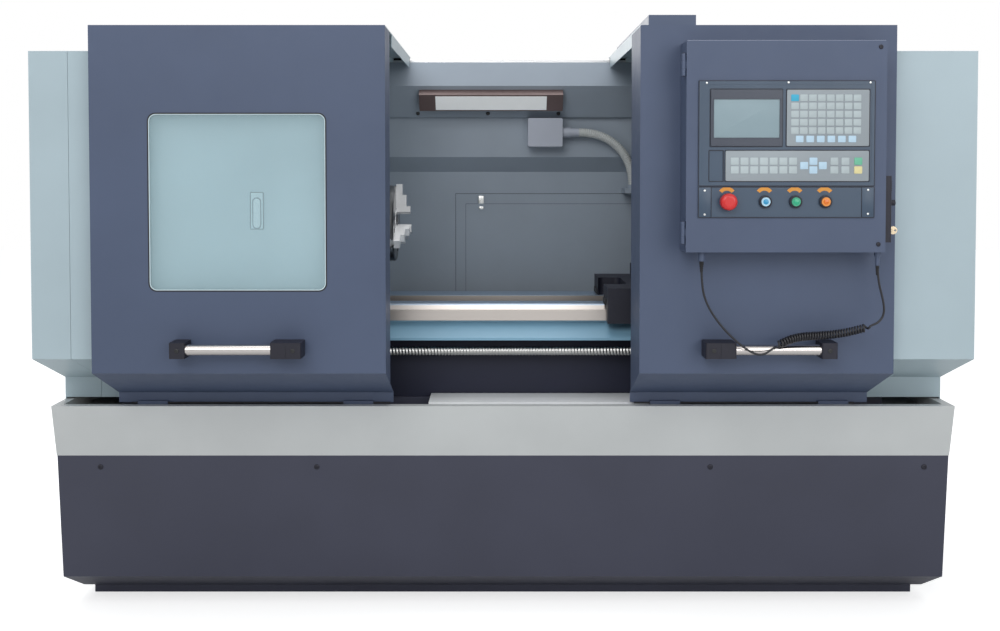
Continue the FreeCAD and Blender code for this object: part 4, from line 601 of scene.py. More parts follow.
# ------------------------------------------------------------------ studio
@dataclass
class Studio:
    """Floor, backdrop, lamps and the camera at the photograph's viewpoint."""

    eye: Point = (-0.0119, -3.635, 1.357)
    tilt: float = 1.8
    focal_px: float = 1095.0
    frame_px: tuple[int, int] = (1000, 631)
    horizon_px: float = 170.0
    column_px: float = 499.0
    sensor: float = 36.0
    lamps: Sequence[tuple[str, Point, Point, float, float]] = (
        ("key_lamp", (-1.6, -5.2, 4.2), (0, -0.2, 0.9), 3.4, 120),
        ("fill_lamp", (2.6, -5.0, 2.6), (0.2, -0.2, 1.0), 3.0, 66),
        ("top_lamp", (0, 0.4, 5.2), (0, 0, 0.8), 3.6, 80),
        ("back_lamp", (-1.5, 4.6, 3.4), (0, 0.4, 1.0), 3.0, 70))

    def build(self) -> None:
        """Make the camera, the lamps, the backdrop and the floor."""
        self._camera()
        for name, place, aim, size, watts in self.lamps:
            lamp = self._place(name, bpy.data.lights.new(name, "AREA"), place)
            lamp.data.size, lamp.data.energy = size, watts
            lamp.rotation_euler = (Vector(aim) - Vector(place)).to_track_quat("-Z", "Y").to_euler()
        self._world()
        self._floor()

    def _place(self, name: str, data: bpy.types.ID, place: Point) -> Thing:
        """Put a camera or a lamp into the scene."""
        obj = bpy.data.objects.new(name, data)
        obj.location = place
        bpy.context.scene.collection.objects.link(obj)
        return obj

    def _camera(self) -> None:
        """Camera with the lens and the shift that the photograph's perspective gives."""
        camera = self._place("camera", bpy.data.cameras.new("camera"), self.eye)
        wide, tall = self.frame_px
        axis_row = self.horizon_px + self.focal_px * math.tan(math.radians(self.tilt))
        camera.data.sensor_width = self.sensor
        camera.data.lens = self.focal_px / wide * self.sensor
        camera.data.shift_y = -(tall / 2 - axis_row) / wide
        camera.data.shift_x = -(self.column_px - wide / 2) / wide
        camera.rotation_euler = (math.radians(90 - self.tilt), 0, 0)
        bpy.context.scene.camera = camera

    def _world(self) -> None:
        """Even pale light from all round, plain white to camera, glossy and transmission rays."""
        world = bpy.data.worlds.new("studio")
        tree = Tree(world)
        lit = tree.feed(tree.nodes["Background"], {"Color": (0.93, 0.96, 1.0, 1), "Strength": 0.40})
        path = tree.add("LightPath")
        seen = path.outputs["Is Camera Ray"]
        for ray in ("Is Glossy Ray", "Is Transmission Ray"):
            seen = tree.add("Math", {0: seen, 1: path.outputs[ray]}, operation="MAXIMUM").outputs[0]
        white = tree.add("Background", {"Color": (1.0, 1.0, 1.0, 1)})
        mix = tree.add("MixShader", {0: seen, 1: lit.outputs[0], 2: white.outputs[0]})
        tree.feed(tree.nodes["World Output"], {"Surface": mix.outputs[0]})
        bpy.context.scene.world = world
        bpy.context.scene.view_settings.view_transform = "Standard"

    def _floor(self) -> None:
        """White floor under the machine, which keeps the shadow."""
        Bench.pick()
        bpy.ops.mesh.primitive_plane_add(size=30, location=(0, 0, 0))
        floor = Bench.settle()
        floor.name = floor.data.name = "studio_floor"
        material = bpy.data.materials.new("floor_white")
        tree = Tree(material)
        seen = tree.add("LightPath").outputs["Is Camera Ray"]
        lift = tree.add("Math", {0: seen, 1: 0.62}, operation="MULTIPLY").outputs[0]
        tree.feed(tree.nodes["Principled BSDF"], {
            "Base Color": (0.88, 0.88, 0.87, 1), "Roughness": 0.85,
            "Emission Color": (1.0, 1.0, 1.0, 1), "Emission Strength": lift})
        floor.data.materials.append(material)


# ------------------------------------------------------------------ cord and conduit
def nurbs_curve(name: str, points: Sequence[Sequence[float]], steps: int, radius: float = 0.0) -> Thing:
    """Open NURBS curve object through its end points.

    Args:
        name: Name of the object.
        points: Control points.
        steps: Resolution of each run.
        radius: Half the thickness, or nothing for a bare line.

    Returns:
        The curve object.
    """
    data = bpy.data.curves.new(name, "CURVE")
    data.dimensions = "3D"
    data.resolution_u, data.bevel_resolution = steps, 4
    data.bevel_depth, data.use_fill_caps = radius, bool(radius)
    spline = data.splines.new("NURBS")
    spline.points.add(len(points) - 1)
    for spot, place in zip(spline.points, points):
        spot.co = (*place, 1)
    spline.order_u, spline.use_endpoint_u = 3, True
    obj = bpy.data.objects.new(name, data)
    bpy.context.scene.collection.objects.link(obj)
    return obj


def metres(*points: Point) -> tuple[Vector, ...]:
    """Points of part.py, in metres."""
    return tuple((Vector(p) / 1000).freeze() for p in points)


def circle(middle: Vector, side: Vector, up: Vector, radius: float, turn: float) -> Vector:
    """Point of a circle, a share of a turn round from its first side."""
    return middle + side * (radius * math.cos(math.tau * turn)) + up * (radius * math.sin(math.tau * turn))


class Line:
    """The smooth line that a route's points control, walked by its length."""

    def __init__(self, route: Sequence[Vector], steps: int) -> None:
        """Lay the line, with some steps for each run of the route, and measure it."""
        curve = nurbs_curve("route", route, steps)
        mesh = bpy.data.meshes.new_from_object(curve)
        self.points = [vert.co.copy() for vert in mesh.vertices]
        bpy.data.objects.remove(curve)
        bpy.data.meshes.remove(mesh)
        self.marks = [0.0]
        for a, b in zip(self.points, self.points[1:]):
            self.marks.append(self.marks[-1] + (b - a).length)
        self.length = self.marks[-1]

    def at(self, distance: float) -> tuple[Vector, Vector]:
        """Point and direction at a distance along the line."""
        distance = min(max(distance, 0.0), self.length)
        low = next((i for i in range(len(self.marks) - 1) if self.marks[i + 1] >= distance),
                   len(self.marks) - 2)
        span = self.marks[low + 1] - self.marks[low]
        share = (distance - self.marks[low]) / span if span else 0
        a, b = self.points[low], self.points[low + 1]
        before, after = self.points[max(low - 1, 0)], self.points[min(low + 2, len(self.points) - 1)]
        return a.lerp(b, share), (b - before).lerp(after - a, share).normalized()

    def nearest(self, spot: Vector) -> float:
        """Distance along the line of the point nearest to a spot."""
        return self.marks[min(range(len(self.points)), key=lambda i: (self.points[i] - spot).length)]


@dataclass
class PanelCord:
    """Curly cord that hangs from the operator panel and passes in front of the grip.

    The leads and the curled part's axis are part.py's route points, in metres.
    """

    left_lead: Sequence[Vector] = metres(
        (543.5, -638, 1106.7), (543.5, -638, 1042), (558, -638, 988), (592, -638, 935), (632, -640, 893),
        (670, -644, 862), (708, -646, 846))
    curled: Sequence[Vector] = metres(
        (770, -640, 886), (818, -628, 898), (880, -623, 900), (942, -625, 907), (1001, -631, 923.5))
    right_lead: Sequence[Vector] = metres(
        (1030, -636, 937), (1043, -637, 953), (1047, -638, 975), (1041, -638, 1008), (1029, -638, 1052),
        (1026, -638, 1094.7))
    radius: float = 0.003
    length: float = 2.4462
    turns: int = 34
    per_turn: int = 14
    curl_r: float = 0.009
    stretch: float = 3.2

    def _helix(self) -> list[Vector]:
        """Control points of the curls, round the smooth line of the route."""
        line = Line([*self.left_lead, *self.curled, *self.right_lead], 40)
        first = line.nearest(self.left_lead[-1].lerp(self.curled[0], 0.5))
        last = line.nearest(self.curled[-1].lerp(self.right_lead[0], 0.5))
        whole = self.turns + 2 * (self.stretch - 1)
        swell = self.curl_r / (0.75 + 0.25 * math.cos(math.tau / self.per_turn))
        spots = []
        for i in range(self.turns * self.per_turn + 1):
            turn = i / self.per_turn
            opening = min(turn, 1) + max(turn - self.turns + 1, 0)
            share = (turn + (self.stretch - 1) * opening) / whole
            middle, ahead = line.at(first + (last - first) * share)
            side = ahead.cross(Vector((0, 1, 0))).normalized()
            near_end = min(turn, self.turns - turn, 1.0)
            reach = swell * near_end * near_end * (3 - 2 * near_end)
            spots.append(circle(middle, side, side.cross(ahead), reach, turn))
        return spots

    def _relief(self, name: str, top: Vector, length: float, wide: float) -> Thing:
        """Ribbed, tapered sleeve round the cord below a gland."""
        rings, groove, slope = 6, 0.0012, 0.02
        tip = self.radius + 0.0006
        profile = [(0.0, 0.0), (0.0, wide)]
        for i in range(rings):
            low, high = (i + 0.25) / rings, (i + 0.8) / rings
            for share, dip in ((low, 0.0), (low + slope, groove), (high - slope, groove), (high, 0.0)):
                profile.append((share * length, max(wide + (tip - wide) * share - dip, self.radius + FOOT)))
        profile += [(length, tip), (length, 0.0)]
        down = Matrix.Translation(top) @ Matrix.Rotation(math.pi / 2, 4, "Y")
        sleeve = Bench.copies(Bench.lathe(profile, 28), [down])
        return hang(name, sleeve, "right_door", Kit.RUBBER)

    def build(self) -> None:
        """Make the cord and its two strain reliefs."""
        sleeves = [self._relief("left_cord_relief", self.left_lead[0], 0.030, 0.0072),
                   self._relief("right_cord_relief", self.right_lead[-1], 0.026, 0.0054)]
        route = [*self.left_lead, *self._helix(), *self.right_lead]
        cord = hang("curly_cord", nurbs_curve("curly_cord", route, 8, self.radius), "right_door", Kit.SHEATH,
                    replaces=["panel_cord"])


@dataclass
class Conduit:
    """Pale corrugated hose from the cable box into the rear wall."""

    route: Sequence[Vector] = metres(
        (276.3, 320, 1492), (365, 320, 1492), (470, 320, 1387), (470, 320, 1303.3))
    radius: float = 0.014
    rib: float = 0.002
    ribs: int = 40
    per_rib: int = 8
    length: float = 0.3128
    sides: int = 36
    path_steps: int = 60

    def build(self) -> None:
        """Sweep rounded ribs along the route's smooth line."""
        line = Line(self.route, self.path_steps)
        side = Vector((0, 1, 0))
        rings = []
        for i in range(self.ribs * self.per_rib + 1):
            swell = 0.5 - 0.5 * math.cos(math.tau * i / self.per_rib)
            radius = self.radius + self.rib * min(1.0, swell ** 0.6)
            middle, ahead = line.at(i / self.per_rib * line.length / self.ribs)
            up = ahead.cross(side).normalized()
            rings.append([circle(middle, side, up, radius, j / self.sides) for j in range(self.sides)])
        hose = hang("ribbed_conduit", Bench.skin(rings), "machine", Kit.HOSE, smooth=50, replaces=["conduit"])


# ------------------------------------------------------------------ operator panel
@dataclass
class KeyField:
    """One membrane with its raised keys.

    Args:
        name: First part of the pieces' names.
        low: Lower left front corner of the membrane.
        high: Upper right back corner.
        key: Width of a key.
        height: Height of a key.
        stand: How far a key stands out.
    """

    name: str
    low: Point
    high: Point
    key: float = 0.0208
    height: float = 0.0180
    stand: float = 0.0015

    def base(self, replaces: Sequence[str] = ()) -> None:
        """The membrane with its rounded corners and rim."""
        base = Bench.slab(self.low, self.high, 1, 0.004, FOOT)
        hang(f"{self.name}_membrane", base, "panel_cover", Kit.KEY_BED, replaces=replaces)

    def keys(self, name: str, finish: Kit, spots: Iterable[tuple[float, float]]) -> None:
        """Equal cushioned keys at points measured from the membrane's lower left corner."""
        face = self.low[1]
        key = Bench.slab((-self.key / 2, face - self.stand, -self.height / 2),
                         (self.key / 2, face + 0.0003, self.height / 2), 1, 0.0022)
        Bench.round_edges(key, 0.0006, 2, lambda a, b: max(a.y, b.y) < face - self.stand + 1e-5)
        places = [(self.low[0] + x, 0, self.low[2] + z) for x, z in spots]
        hang(f"{self.name}_{name}", Bench.copies(key, places), "panel_cover", finish)


@dataclass
class OperatorPanel:
    """Keys, glass, screws, arcs and plugs of the operator panel's face."""

    plate_y: float = -0.6653
    button_z: float = 1.271
    button_xs: Point = (0.710, 0.792, 0.873)
    stop_x: float = 0.608
    arc_lean: float = 38.0
    board_y: float = -0.5655

    def build(self) -> None:
        """Add the panel's pieces."""
        self._keys()
        self._plates()
        self._arcs()
        self._buttons()
        self._lock()
        self._boards()

    def _keys(self) -> None:
        """Data keypad with a row of soft keys, and operator keypad with its cross."""
        pad = KeyField("data_keys", (0.767, -0.6671, 1.422), (0.990, -0.6656, 1.574))
        grid = [(0.0214 + i * 0.0241, 0.0417 + j * 0.0221) for j in range(5) for i in range(8)]
        reset = grid.pop(4 * 8)
        pad.base(["membrane_keypads"])
        pad.keys("letters", Kit.KEY_PALE, grid)
        pad.keys("soft_row", Kit.KEY_ICE, [(0.0348 + i * 0.0285, 0.0188) for i in range(6)])
        pad.keys("reset", Kit.KEY_BLUE, [reset])
        pad = KeyField("operator_keys", (0.602, -0.6671, 1.327), (0.990, -0.6656, 1.409), 0.0215, 0.0198)
        low, high = rows = (0.0301, 0.0538)
        columns = [0.0245 + i * 0.0263 for i in range(7)], [0.2940 + i * 0.0300 for i in range(2)]
        pad.base()
        pad.keys("functions", Kit.KEY_PALE, [(x, z) for xs in columns for z in rows for x in xs])
        pad.keys("cross", Kit.KEY_ICE, [(0.2375, low), (0.2375, high), (0.2125, 0.0420), (0.2630, 0.0420)])
        pad.keys("start", Kit.KEY_GREEN, [(0.3590, high)])
        pad.keys("hold", Kit.KEY_YELLOW, [(0.3590, low)])

    def _plates(self) -> None:
        """Display, end strips, folded borders, black lines that paint the shade round the fields, screws,
        plugs, hinge sleeves and a lighter lip that paints the cover's top highlight.
        """
        back, low, high = self.plate_y + 0.0002, 1.2285, 1.3105
        fields = ((0.5585, 1.4190, 0.7565, 1.5770), (0.7645, 1.4195, 0.9925, 1.5765),
                  (0.5995, 1.3245, 0.9925, 1.4115), (0.5560, 1.3250, 0.5970, 1.4110),
                  (0.5285, 1.2275, 1.0065, 1.3115), (0.5285, 1.3130, 1.0065, 1.5990))
        # black lines round the fields and beside the end strips paint the shade at their borders
        lines = [Bench.ring((x0, -0.6664, z0), (x1, back, z1), 1, 0.003, 0.0018) for x0, z0, x1, z1 in fields]
        lines += [Bench.block((x, -0.6665, low), (x + 0.0015, self.plate_y, high), 0.0002)
                  for x in (0.5630, 0.9710)]
        strips = [Bench.block((x, -0.6662, low), (x + 0.0330, back, high), FOOT) for x in (0.5295, 0.9725)]
        sleeves = [Bench.tube((0.4890, -0.6548, z), "z", length, 0.0059, 28, 0.0008)
                   for z, length in ((1.1550, 0.0620), (1.6110, 0.0630))]
        corners = ((0.5500, 1.5925), (0.7710, 1.5935), (0.9925, 1.5935), (0.5460, 1.3010), (0.9890, 1.3030),
                   (0.5460, 1.2360), (0.9890, 1.2380))
        heads = [(x, self.plate_y - 0.0007, z) for x, z in corners]
        plugs = [(1.0215, -0.662, 1.690), (1.0195, -0.662, 1.155)]
        for name, parts, finish in (
                ("display_glass", Bench.slab((0.5692, -0.66905, 1.4442), (0.7468, -0.6681, 1.5478), 1,
                                             0.0015, 0.0003), Kit.SCREEN_GLASS),
                ("display_rim", Bench.ring((0.5665, -0.6706, 1.4415), (0.7495, -0.6695, 1.5505), 1,
                                           0.003, 0.0024), Kit.SCREEN),
                ("plate_end_strips", strips, Kit.PLATE),
                ("upper_plate_border", Bench.ring((0.5285, -0.6661, 1.3140), (1.0065, back, 1.5985), 1,
                                                  0.004, 0.010), Kit.PLATE),
                ("plate_shade_lines", lines, Kit.BLACK),
                # lighter tube along the cover's top edge paints the edge's highlight
                ("cover_top_highlight_lip", Bench.tube((0.4980, -0.6605, 1.7066), "x", 0.5380, 0.0014, 16, 0.0006),
                 Kit.EDGE),
                ("plate_screws", Bench.screws(heads, "-y", 0.0031, 0.0016), Kit.ZINC),
                ("cover_plugs", Bench.screws(plugs, "-y", 0.0062, 0.0032), Kit.BLACK),
                ("cover_hinge_sleeves", sleeves, Kit.BLACK)):
            hang(name, parts, "panel_cover", finish)

    def _arcs(self) -> None:
        """Bare curved plates over the stop and the push buttons."""
        bands = []
        for x in (self.stop_x, *self.button_xs):
            centre = Vector((x - 0.002, self.plate_y - 0.0006, self.button_z + 0.014))
            plate = Bench.tube(centre, "y", 0.0008, 0.0262, 64)
            hole = Bench.tube(centre - Vector((0, 0.005, 0)), "y", 0.02, 0.0160, 64)
            below = Bench.block(centre - Vector((0.06, 0.005, 0.06)), centre + Vector((0.06, 0.005, 0)))
            turns = [Matrix.Translation(centre) @ Matrix.Rotation(math.radians(angle), 4, "Y")
                     @ Matrix.Translation(-centre) for angle in (-self.arc_lean, self.arc_lean)]
            bands.append(Bench.drill(plate, hole, *Bench.copies(below, turns)))
        hang("button_arcs", bands, "panel_cover", Kit.ARC)

    def _buttons(self) -> None:
        """Lens discs on the push buttons and collars round them."""
        collars = []
        for x, colour, finish in zip(self.button_xs, ("blue", "green", "orange"),
                                     (Kit.LENS_BLUE, Kit.LENS_GREEN, Kit.LENS_ORANGE)):
            disc = Bench.tube((x, -0.67615, self.button_z), "-y", 0.0009, 0.0074, 40, FOOT)
            hang(f"{colour}_lens", disc, f"{colour}_push", finish)
            collar = Bench.tube((x, self.plate_y, self.button_z), "-y", 0.0078, 0.0172, 48, 0.0008)
            hole = Bench.tube((x, self.plate_y + 0.001, self.button_z), "-y", 0.012, 0.0124, 48)
            collars.append(Bench.drill(collar, hole))
        hang("button_collars", collars, "panel_cover", Kit.BLACK)

    def _lock(self) -> None:
        """Ribs and key ferrule of the panel's latch bar."""
        ribs = [Bench.block((1.0608, -0.6440, z), (1.0620, -0.6000, z + 0.0022), FOOT)
                for z in (1.300, 1.306, 1.312, 1.318, 1.324)]
        hang("latch_bar_ribs", ribs, "right_door", Kit.BLACK)
        ferrule = Bench.tube((1.0610, -0.622, 1.191), "x", 0.0016, 0.0072, 32, 0.0005)
        hole = Bench.tube((1.0590, -0.622, 1.191), "x", 0.01, 0.0034, 24)
        hang("key_ferrule", Bench.drill(ferrule, hole), "right_door", Kit.ZINC)

    def _boards(self) -> None:
        """Mounting plate, terminal rows, relays and a trunk in the box behind the cover."""
        back, foot = self.board_y, self.board_y - 0.0028
        plate = Bench.slab((0.530, back - 0.0030, 1.180), (1.005, back + FOOT, 1.660), 1, 0.006)
        hang("board_plate", plate, "right_door", Kit.ZINC)
        terminals = [(0.560 + i * 0.0112, 0, z) for z in (1.230, 1.420) for i in range(36)]
        relays = [(0.565 + i * 0.0480, 0, 1.520) for i in range(8)]
        for name, depth, wide, tall, bevel, rim, dip, spots, finish in (
                ("board_terminals", 0.040, 0.0105, 0.036, 0.0012, 0.0022, 0.006, terminals, Kit.BOX),
                ("board_relays", 0.055, 0.040, 0.072, 0.003, 0.005, 0.003, relays, Kit.BLACK)):
            unit = Bench.block((0, back - depth, 0), (wide, foot, tall), bevel)
            Bench.sink(unit, lambda c, n: n.y < -PARALLEL, rim, (0, dip, 0))
            hang(name, Bench.copies(unit, spots), "right_door", finish)
        hang("board_trunking", Bench.block((0.550, back - 0.045, 1.310), (0.985, foot, 1.350), 0.002),
             "right_door", Kit.HOSE)


# ------------------------------------------------------------------ doors and front
@dataclass
class DoorTrim:
    """Window gasket, a pale bead that paints the pane's edge highlight, brush seals, black roof strips that
    paint the shade under the roofs, and handle caps of both sliding doors.
    """

    window: tuple[float, float, float, float] = (-0.997, 1.016, -0.497, 1.516)
    handle_z: float = 0.858

    def build(self) -> None:
        """Add the trim of both doors."""
        x0, z0, x1, z1 = self.window
        # the pale bead inside the gasket paints the highlight along the pane's edge
        for name, y0, y1, out, corner, wall, finish in (
                ("window_gasket", -0.5627, -0.5590, 0.0014, 0.0234, 0.0034, Kit.RUBBER),
                ("window_highlight_bead", -0.5622, -0.5592, -0.0021, 0.0205, 0.0022, Kit.BEAD)):
            band = Bench.ring((x0 - out, y0, z0 - out), (x1 + out, y1, z1 + out), 1, corner, wall)
            hang(name, band, "left_door", finish)
        for body, side in (("left_door", -1), ("right_door", 1)):
            spots = [(side * x, -0.6320, self.handle_z) for x in (0.581, 0.901)]
            hang(f"{body}_handle_caps", Bench.screws(spots, "-y", 0.0065, 0.0016), body, Kit.MOTOR)
        # The seals hang under the hems; the black roof strips over the rear wall's flange paint the shade
        # under the door roofs.
        for name, y0, y1, low, high, bevel, left, right in (
                ("brush_seal", -0.3540, -0.3460, 0.6535, 0.6570, 0.0008, (-1.120, -0.340), (0.395, 1.060)),
                ("roof_shade_strip", 0.3254, 0.3281, 1.7434, 1.7594, 0.0006, (-1.158, -0.334), (0.387, 1.098))):
            for body, (start, end) in (("left_door", left), ("right_door", right)):
                strip = Bench.block((start, y0, low), (end, y1, high), bevel)
                hang(f"{body}_{name}", strip, body, Kit.RUBBER)


@dataclass
class FrontScrews:
    """Screws of the base panel and of the lamp band, two sheets that lean."""

    def build(self) -> None:
        """Set each row at the depth that its sheet has at the row's height."""
        for name, xs, z, top, foot, out, radius, height, finish in (
                ("base_panel_screws", (-1.2145, -0.562, 0.6255, 1.271), 0.4615, (-0.360, 0.4967),
                 (-0.325, 0.115), 0.0004, 0.0085, 0.0034, Kit.BLACK),
                ("lamp_band_screws", (-0.3041, -0.0517, 0.2022), 1.5608, (0.255, 1.655),
                 (0.335, 1.548), -0.0016, 0.0070, 0.0040, Kit.MOTOR)):
            y = top[0] + (foot[0] - top[0]) * (top[1] - z) / (top[1] - foot[1]) + out
            hang(name, Bench.screws([(x, y, z) for x in xs], "-y", radius, height), "machine", finish)


# ------------------------------------------------------------------ inside the machine
@dataclass
class BallScrew:
    """Round-thread screw along the bed, its groove wound as one skin."""

    axis_y: float = -0.235
    axis_z: float = 0.793
    start: float = -0.470
    end: float = 1.180
    radius: float = 0.016
    pitch: float = 0.010
    depth: float = 0.0030
    sides: int = 20
    per_turn: int = 4

    def build(self) -> None:
        """Wind the thread and its plain ends."""
        rings = []
        spans = int((self.end - self.start) / self.pitch * self.per_turn)
        for i in range(spans + 1):
            along = (self.end - self.start) * i / spans
            middle = Vector((self.start + along, self.axis_y, self.axis_z))
            depth = self.depth if 2 <= i <= spans - 2 else 0
            ring = []
            for turn in (k / self.sides for k in range(self.sides)):
                groove = depth * (0.5 + 0.5 * math.cos(math.tau * (along / self.pitch - turn)))
                ring.append(circle(middle, Bench.way("y"), Bench.way("z"), self.radius - groove, turn))
            rings.append(ring)
        hang("z_screw_thread", Bench.skin(rings), "z_screw", Kit.THREAD, smooth=60, replaces=["z_ball_screw"])


@dataclass
class Interior:
    """Lamp holders, seals, chuck hardware, way wipers and latches inside the enclosure."""

    chuck_z: float = 1.181
    chuck_face: float = -0.352
    bolt_circle: float = 0.092
    bolt_spread: float = 13.0
    hatch: tuple[float, float, float, float] = (-0.1716, 0.700, 0.7295, 1.2695)

    def build(self) -> None:
        """Add the pieces of the work space."""
        self._lamp()
        self._hatch_seals()
        self._chuck()
        wipers = [Bench.block((x0, y0, 0.9318), (x1, y1, 0.9500), 0.0012)
                  for x0, x1 in ((0.3215, 0.3258), (0.7462, 0.7505))
                  for y0, y1 in ((-0.2030, -0.1280), (0.1080, 0.2030))]
        hang("way_wipers", wipers, "carriage", Kit.RUBBER)
        self._hatch_trim()
        self._flush_latch()

    def _lamp(self) -> None:
        """Dark tube holders at both ends of the lamp's lens."""
        lean = math.atan2(0.335 - 0.255, 1.655 - 1.548)
        holders = [Bench.block((x0, -0.0016, -0.021), (x1, 0.0006, 0.021), 0.001)
                   for x0, x1 in ((-0.2880, -0.2400), (0.1600, 0.1690))]
        place = Matrix.Translation((0, 0.2648, 1.5985)) @ Matrix.Rotation(lean, 4, "X")
        hang("lamp_holders", Bench.copies(Bench.weld(holders), [place]), "machine", Kit.MOTOR)

    def _hatch_seals(self) -> None:
        """Dark rubber strips behind the hatch's seam."""
        x0, z0, x1, z1 = self.hatch
        out, lap, side = 0.0065, 0.0015, 0.0012
        fields = ((x0 - out, z1 - lap, x1 + out, z1 + out), (x0 - out, z0 - out, x1 + out, z0 + lap),
                  (x0 - out, z0, x0 + side, z1), (x1 - side, z0, x1 + out, z1))
        strips = [Bench.block((a, 0.4078, b), (c, 0.4110, d), 0.0008) for a, b, c, d in fields]
        hang("hatch_seal_strips", strips, "machine", Kit.RUBBER)

    def _chuck(self) -> None:
        """Bolts on the chuck's face and the ring round its mouth."""
        foot = self.chuck_face - FOOT
        turns = [math.radians(degrees + side * self.bolt_spread)
                 for degrees in (30, 150, 270) for side in (-1, 1)]
        spots = [(foot, self.bolt_circle * math.sin(turn), self.chuck_z + self.bolt_circle * math.cos(turn))
                 for turn in turns]
        hang("chuck_face_screws", Bench.screws(spots, "x", 0.0085, 0.0022), "spindle", Kit.MOTOR)
        ring = Bench.tube((foot, 0, self.chuck_z), "x", 0.0024, 0.052, 64, 0.0008)
        hole = Bench.tube((self.chuck_face - 0.01, 0, self.chuck_z), "x", 0.03, 0.0395, 64)
        hang("chuck_mouth_ring", Bench.drill(ring, hole), "spindle", Kit.TURNED)

    def _hatch_trim(self) -> None:
        """Inner seam, bright latch and rear pull of the hatch."""
        seam = Bench.ring((-0.1350, 0.4041, 0.7360), (0.6930, 0.4062, 1.2330), 1, 0.002, 0.0024)
        latch = [Bench.slab((-0.0880, 0.3968, 1.2330), (-0.0680, 0.4056, 1.2620), 1, 0.004, 0.001),
                 Bench.slab((-0.0860, 0.3975, 1.2120), (-0.0690, 0.4056, 1.2225), 1, 0.003, 0.001)]
        pull = [Bench.tube((-0.120, 0.4100, z), "y", 0.030, 0.0050, 24) for z in (0.930, 1.030)]
        pull.append(Bench.tube((-0.120, 0.4400, 0.918), "z", 0.124, 0.0065, 24, 0.002))
        hang("hatch_inner_seam", seam, "rear_hatch", Kit.RUBBER)
        hang("hatch_latch_plates", latch, "rear_hatch", Kit.ZINC)
        hang("hatch_pull", pull, "rear_hatch", Kit.BLACK)

    def _flush_latch(self) -> None:
        """Dark outline and pale lever of the flush latch seen through the window."""
        outline = [Bench.ring((-0.7218, -0.5168, 1.1872), (-0.6822, -0.5122, 1.2948), 1, 0.004, 0.0030),
                   Bench.slab((-0.7150, -0.5172, 1.1890), (-0.6890, -0.5160, 1.2790), 1, 0.0125)]
        hang("flush_latch_outline", outline, "machine", Kit.BASE_SLATE)
        lever = Bench.slab((-0.7118, -0.5192, 1.1922), (-0.6922, -0.5170, 1.2758), 1, 0.0095, 0.0008)
        hang("flush_latch_lever", lever, "machine", Kit.BEAD)


# ------------------------------------------------------------------ rear and sides
@dataclass
class CabinetTrim:
    """Grilles, main switch, glands and lifting eyes of the electric cabinet."""

    side_x: float = -1.240
    floor_z: float = 0.780
    roof_z: float = 1.640

    def build(self) -> None:
        """Add the cabinet's hardware."""
        self._grille("cabinet_intake_grille", 0.860)
        self._grille("cabinet_outlet_grille", 1.420)
        self._switch()
        self._glands()
        self._eyes()

    def _grille(self, name: str, z0: float) -> None:
        """Framed grille with nine bars on the cabinet's left side."""
        x, y0, y1 = self.side_x, 0.490, 0.650
        parts = [Bench.ring((x - 0.008, y0, z0), (x + FOOT, y1, z0 + 0.160), 0, 0.010, 0.012)]
        parts += [Bench.block((x - 0.0065, y0 + 0.010, z), (x + 0.0002, y1 - 0.010, z + 0.0075), 0.0015)
                  for z in (z0 + 0.0165 + i * 0.0150 for i in range(9))]
        hang(name, parts, "machine", Kit.BLACK)

    def _switch(self) -> None:
        """Main switch: square plate, round boss and turned grip."""
        x, y, z = self.side_x, 0.570, 1.240
        half = 0.034
        plate = Bench.slab((x - 0.004, y - half, z - half), (x + FOOT, y + half, z + half), 0, 0.005, 0.001)
        boss = Bench.tube((x - 0.003, y, z), "-x", 0.012, 0.024, 48, 0.003, 3)
        hang("main_switch_plate", [plate, boss], "machine", Kit.BLACK)
        grip = Bench.slab((x - half, y - 0.008, z - 0.026), (x - 0.0145, y + 0.008, z + 0.026), 0,
                          0.0075, 0.002)
        hang("main_switch_grip", grip, "machine", Kit.RED)

    def _glands(self) -> None:
        """Cable glands under the cabinet's floor."""
        nut = Bench.tube((0, 0, FOOT), "-z", 0.010, 0.017, 6)
        Bench.round_edges(nut, 0.001, 1)
        dome = Bench.tube((0, 0, -0.009), "-z", 0.014, 0.0135, 32, 0.005, 4)
        spots = [(-0.470 - i * 0.055, 0.500, self.floor_z) for i in range(5)]
        hang("cabinet_glands", Bench.copies(Bench.weld([nut, dome]), spots), "machine", Kit.BLACK)

    def _eyes(self) -> None:
        """Lifting eyes on the cabinet's roof."""
        Bench.pick()
        bpy.ops.mesh.primitive_torus_add(major_radius=0.017, minor_radius=0.005, major_segments=32,
                                         minor_segments=12, rotation=Bench.TURNS["y"], location=(0, 0, 0.029))
        eye = [Bench.settle(), Bench.tube((0, 0, -FOOT), "z", 0.010, 0.015, 32, 0.002)]
        spots = [(x, y, self.roof_z) for x in (-1.190, -0.430) for y in (0.460, 0.680)]
        hang("cabinet_lifting_eyes", Bench.copies(Bench.weld(eye), spots), "machine", Kit.ZINC)


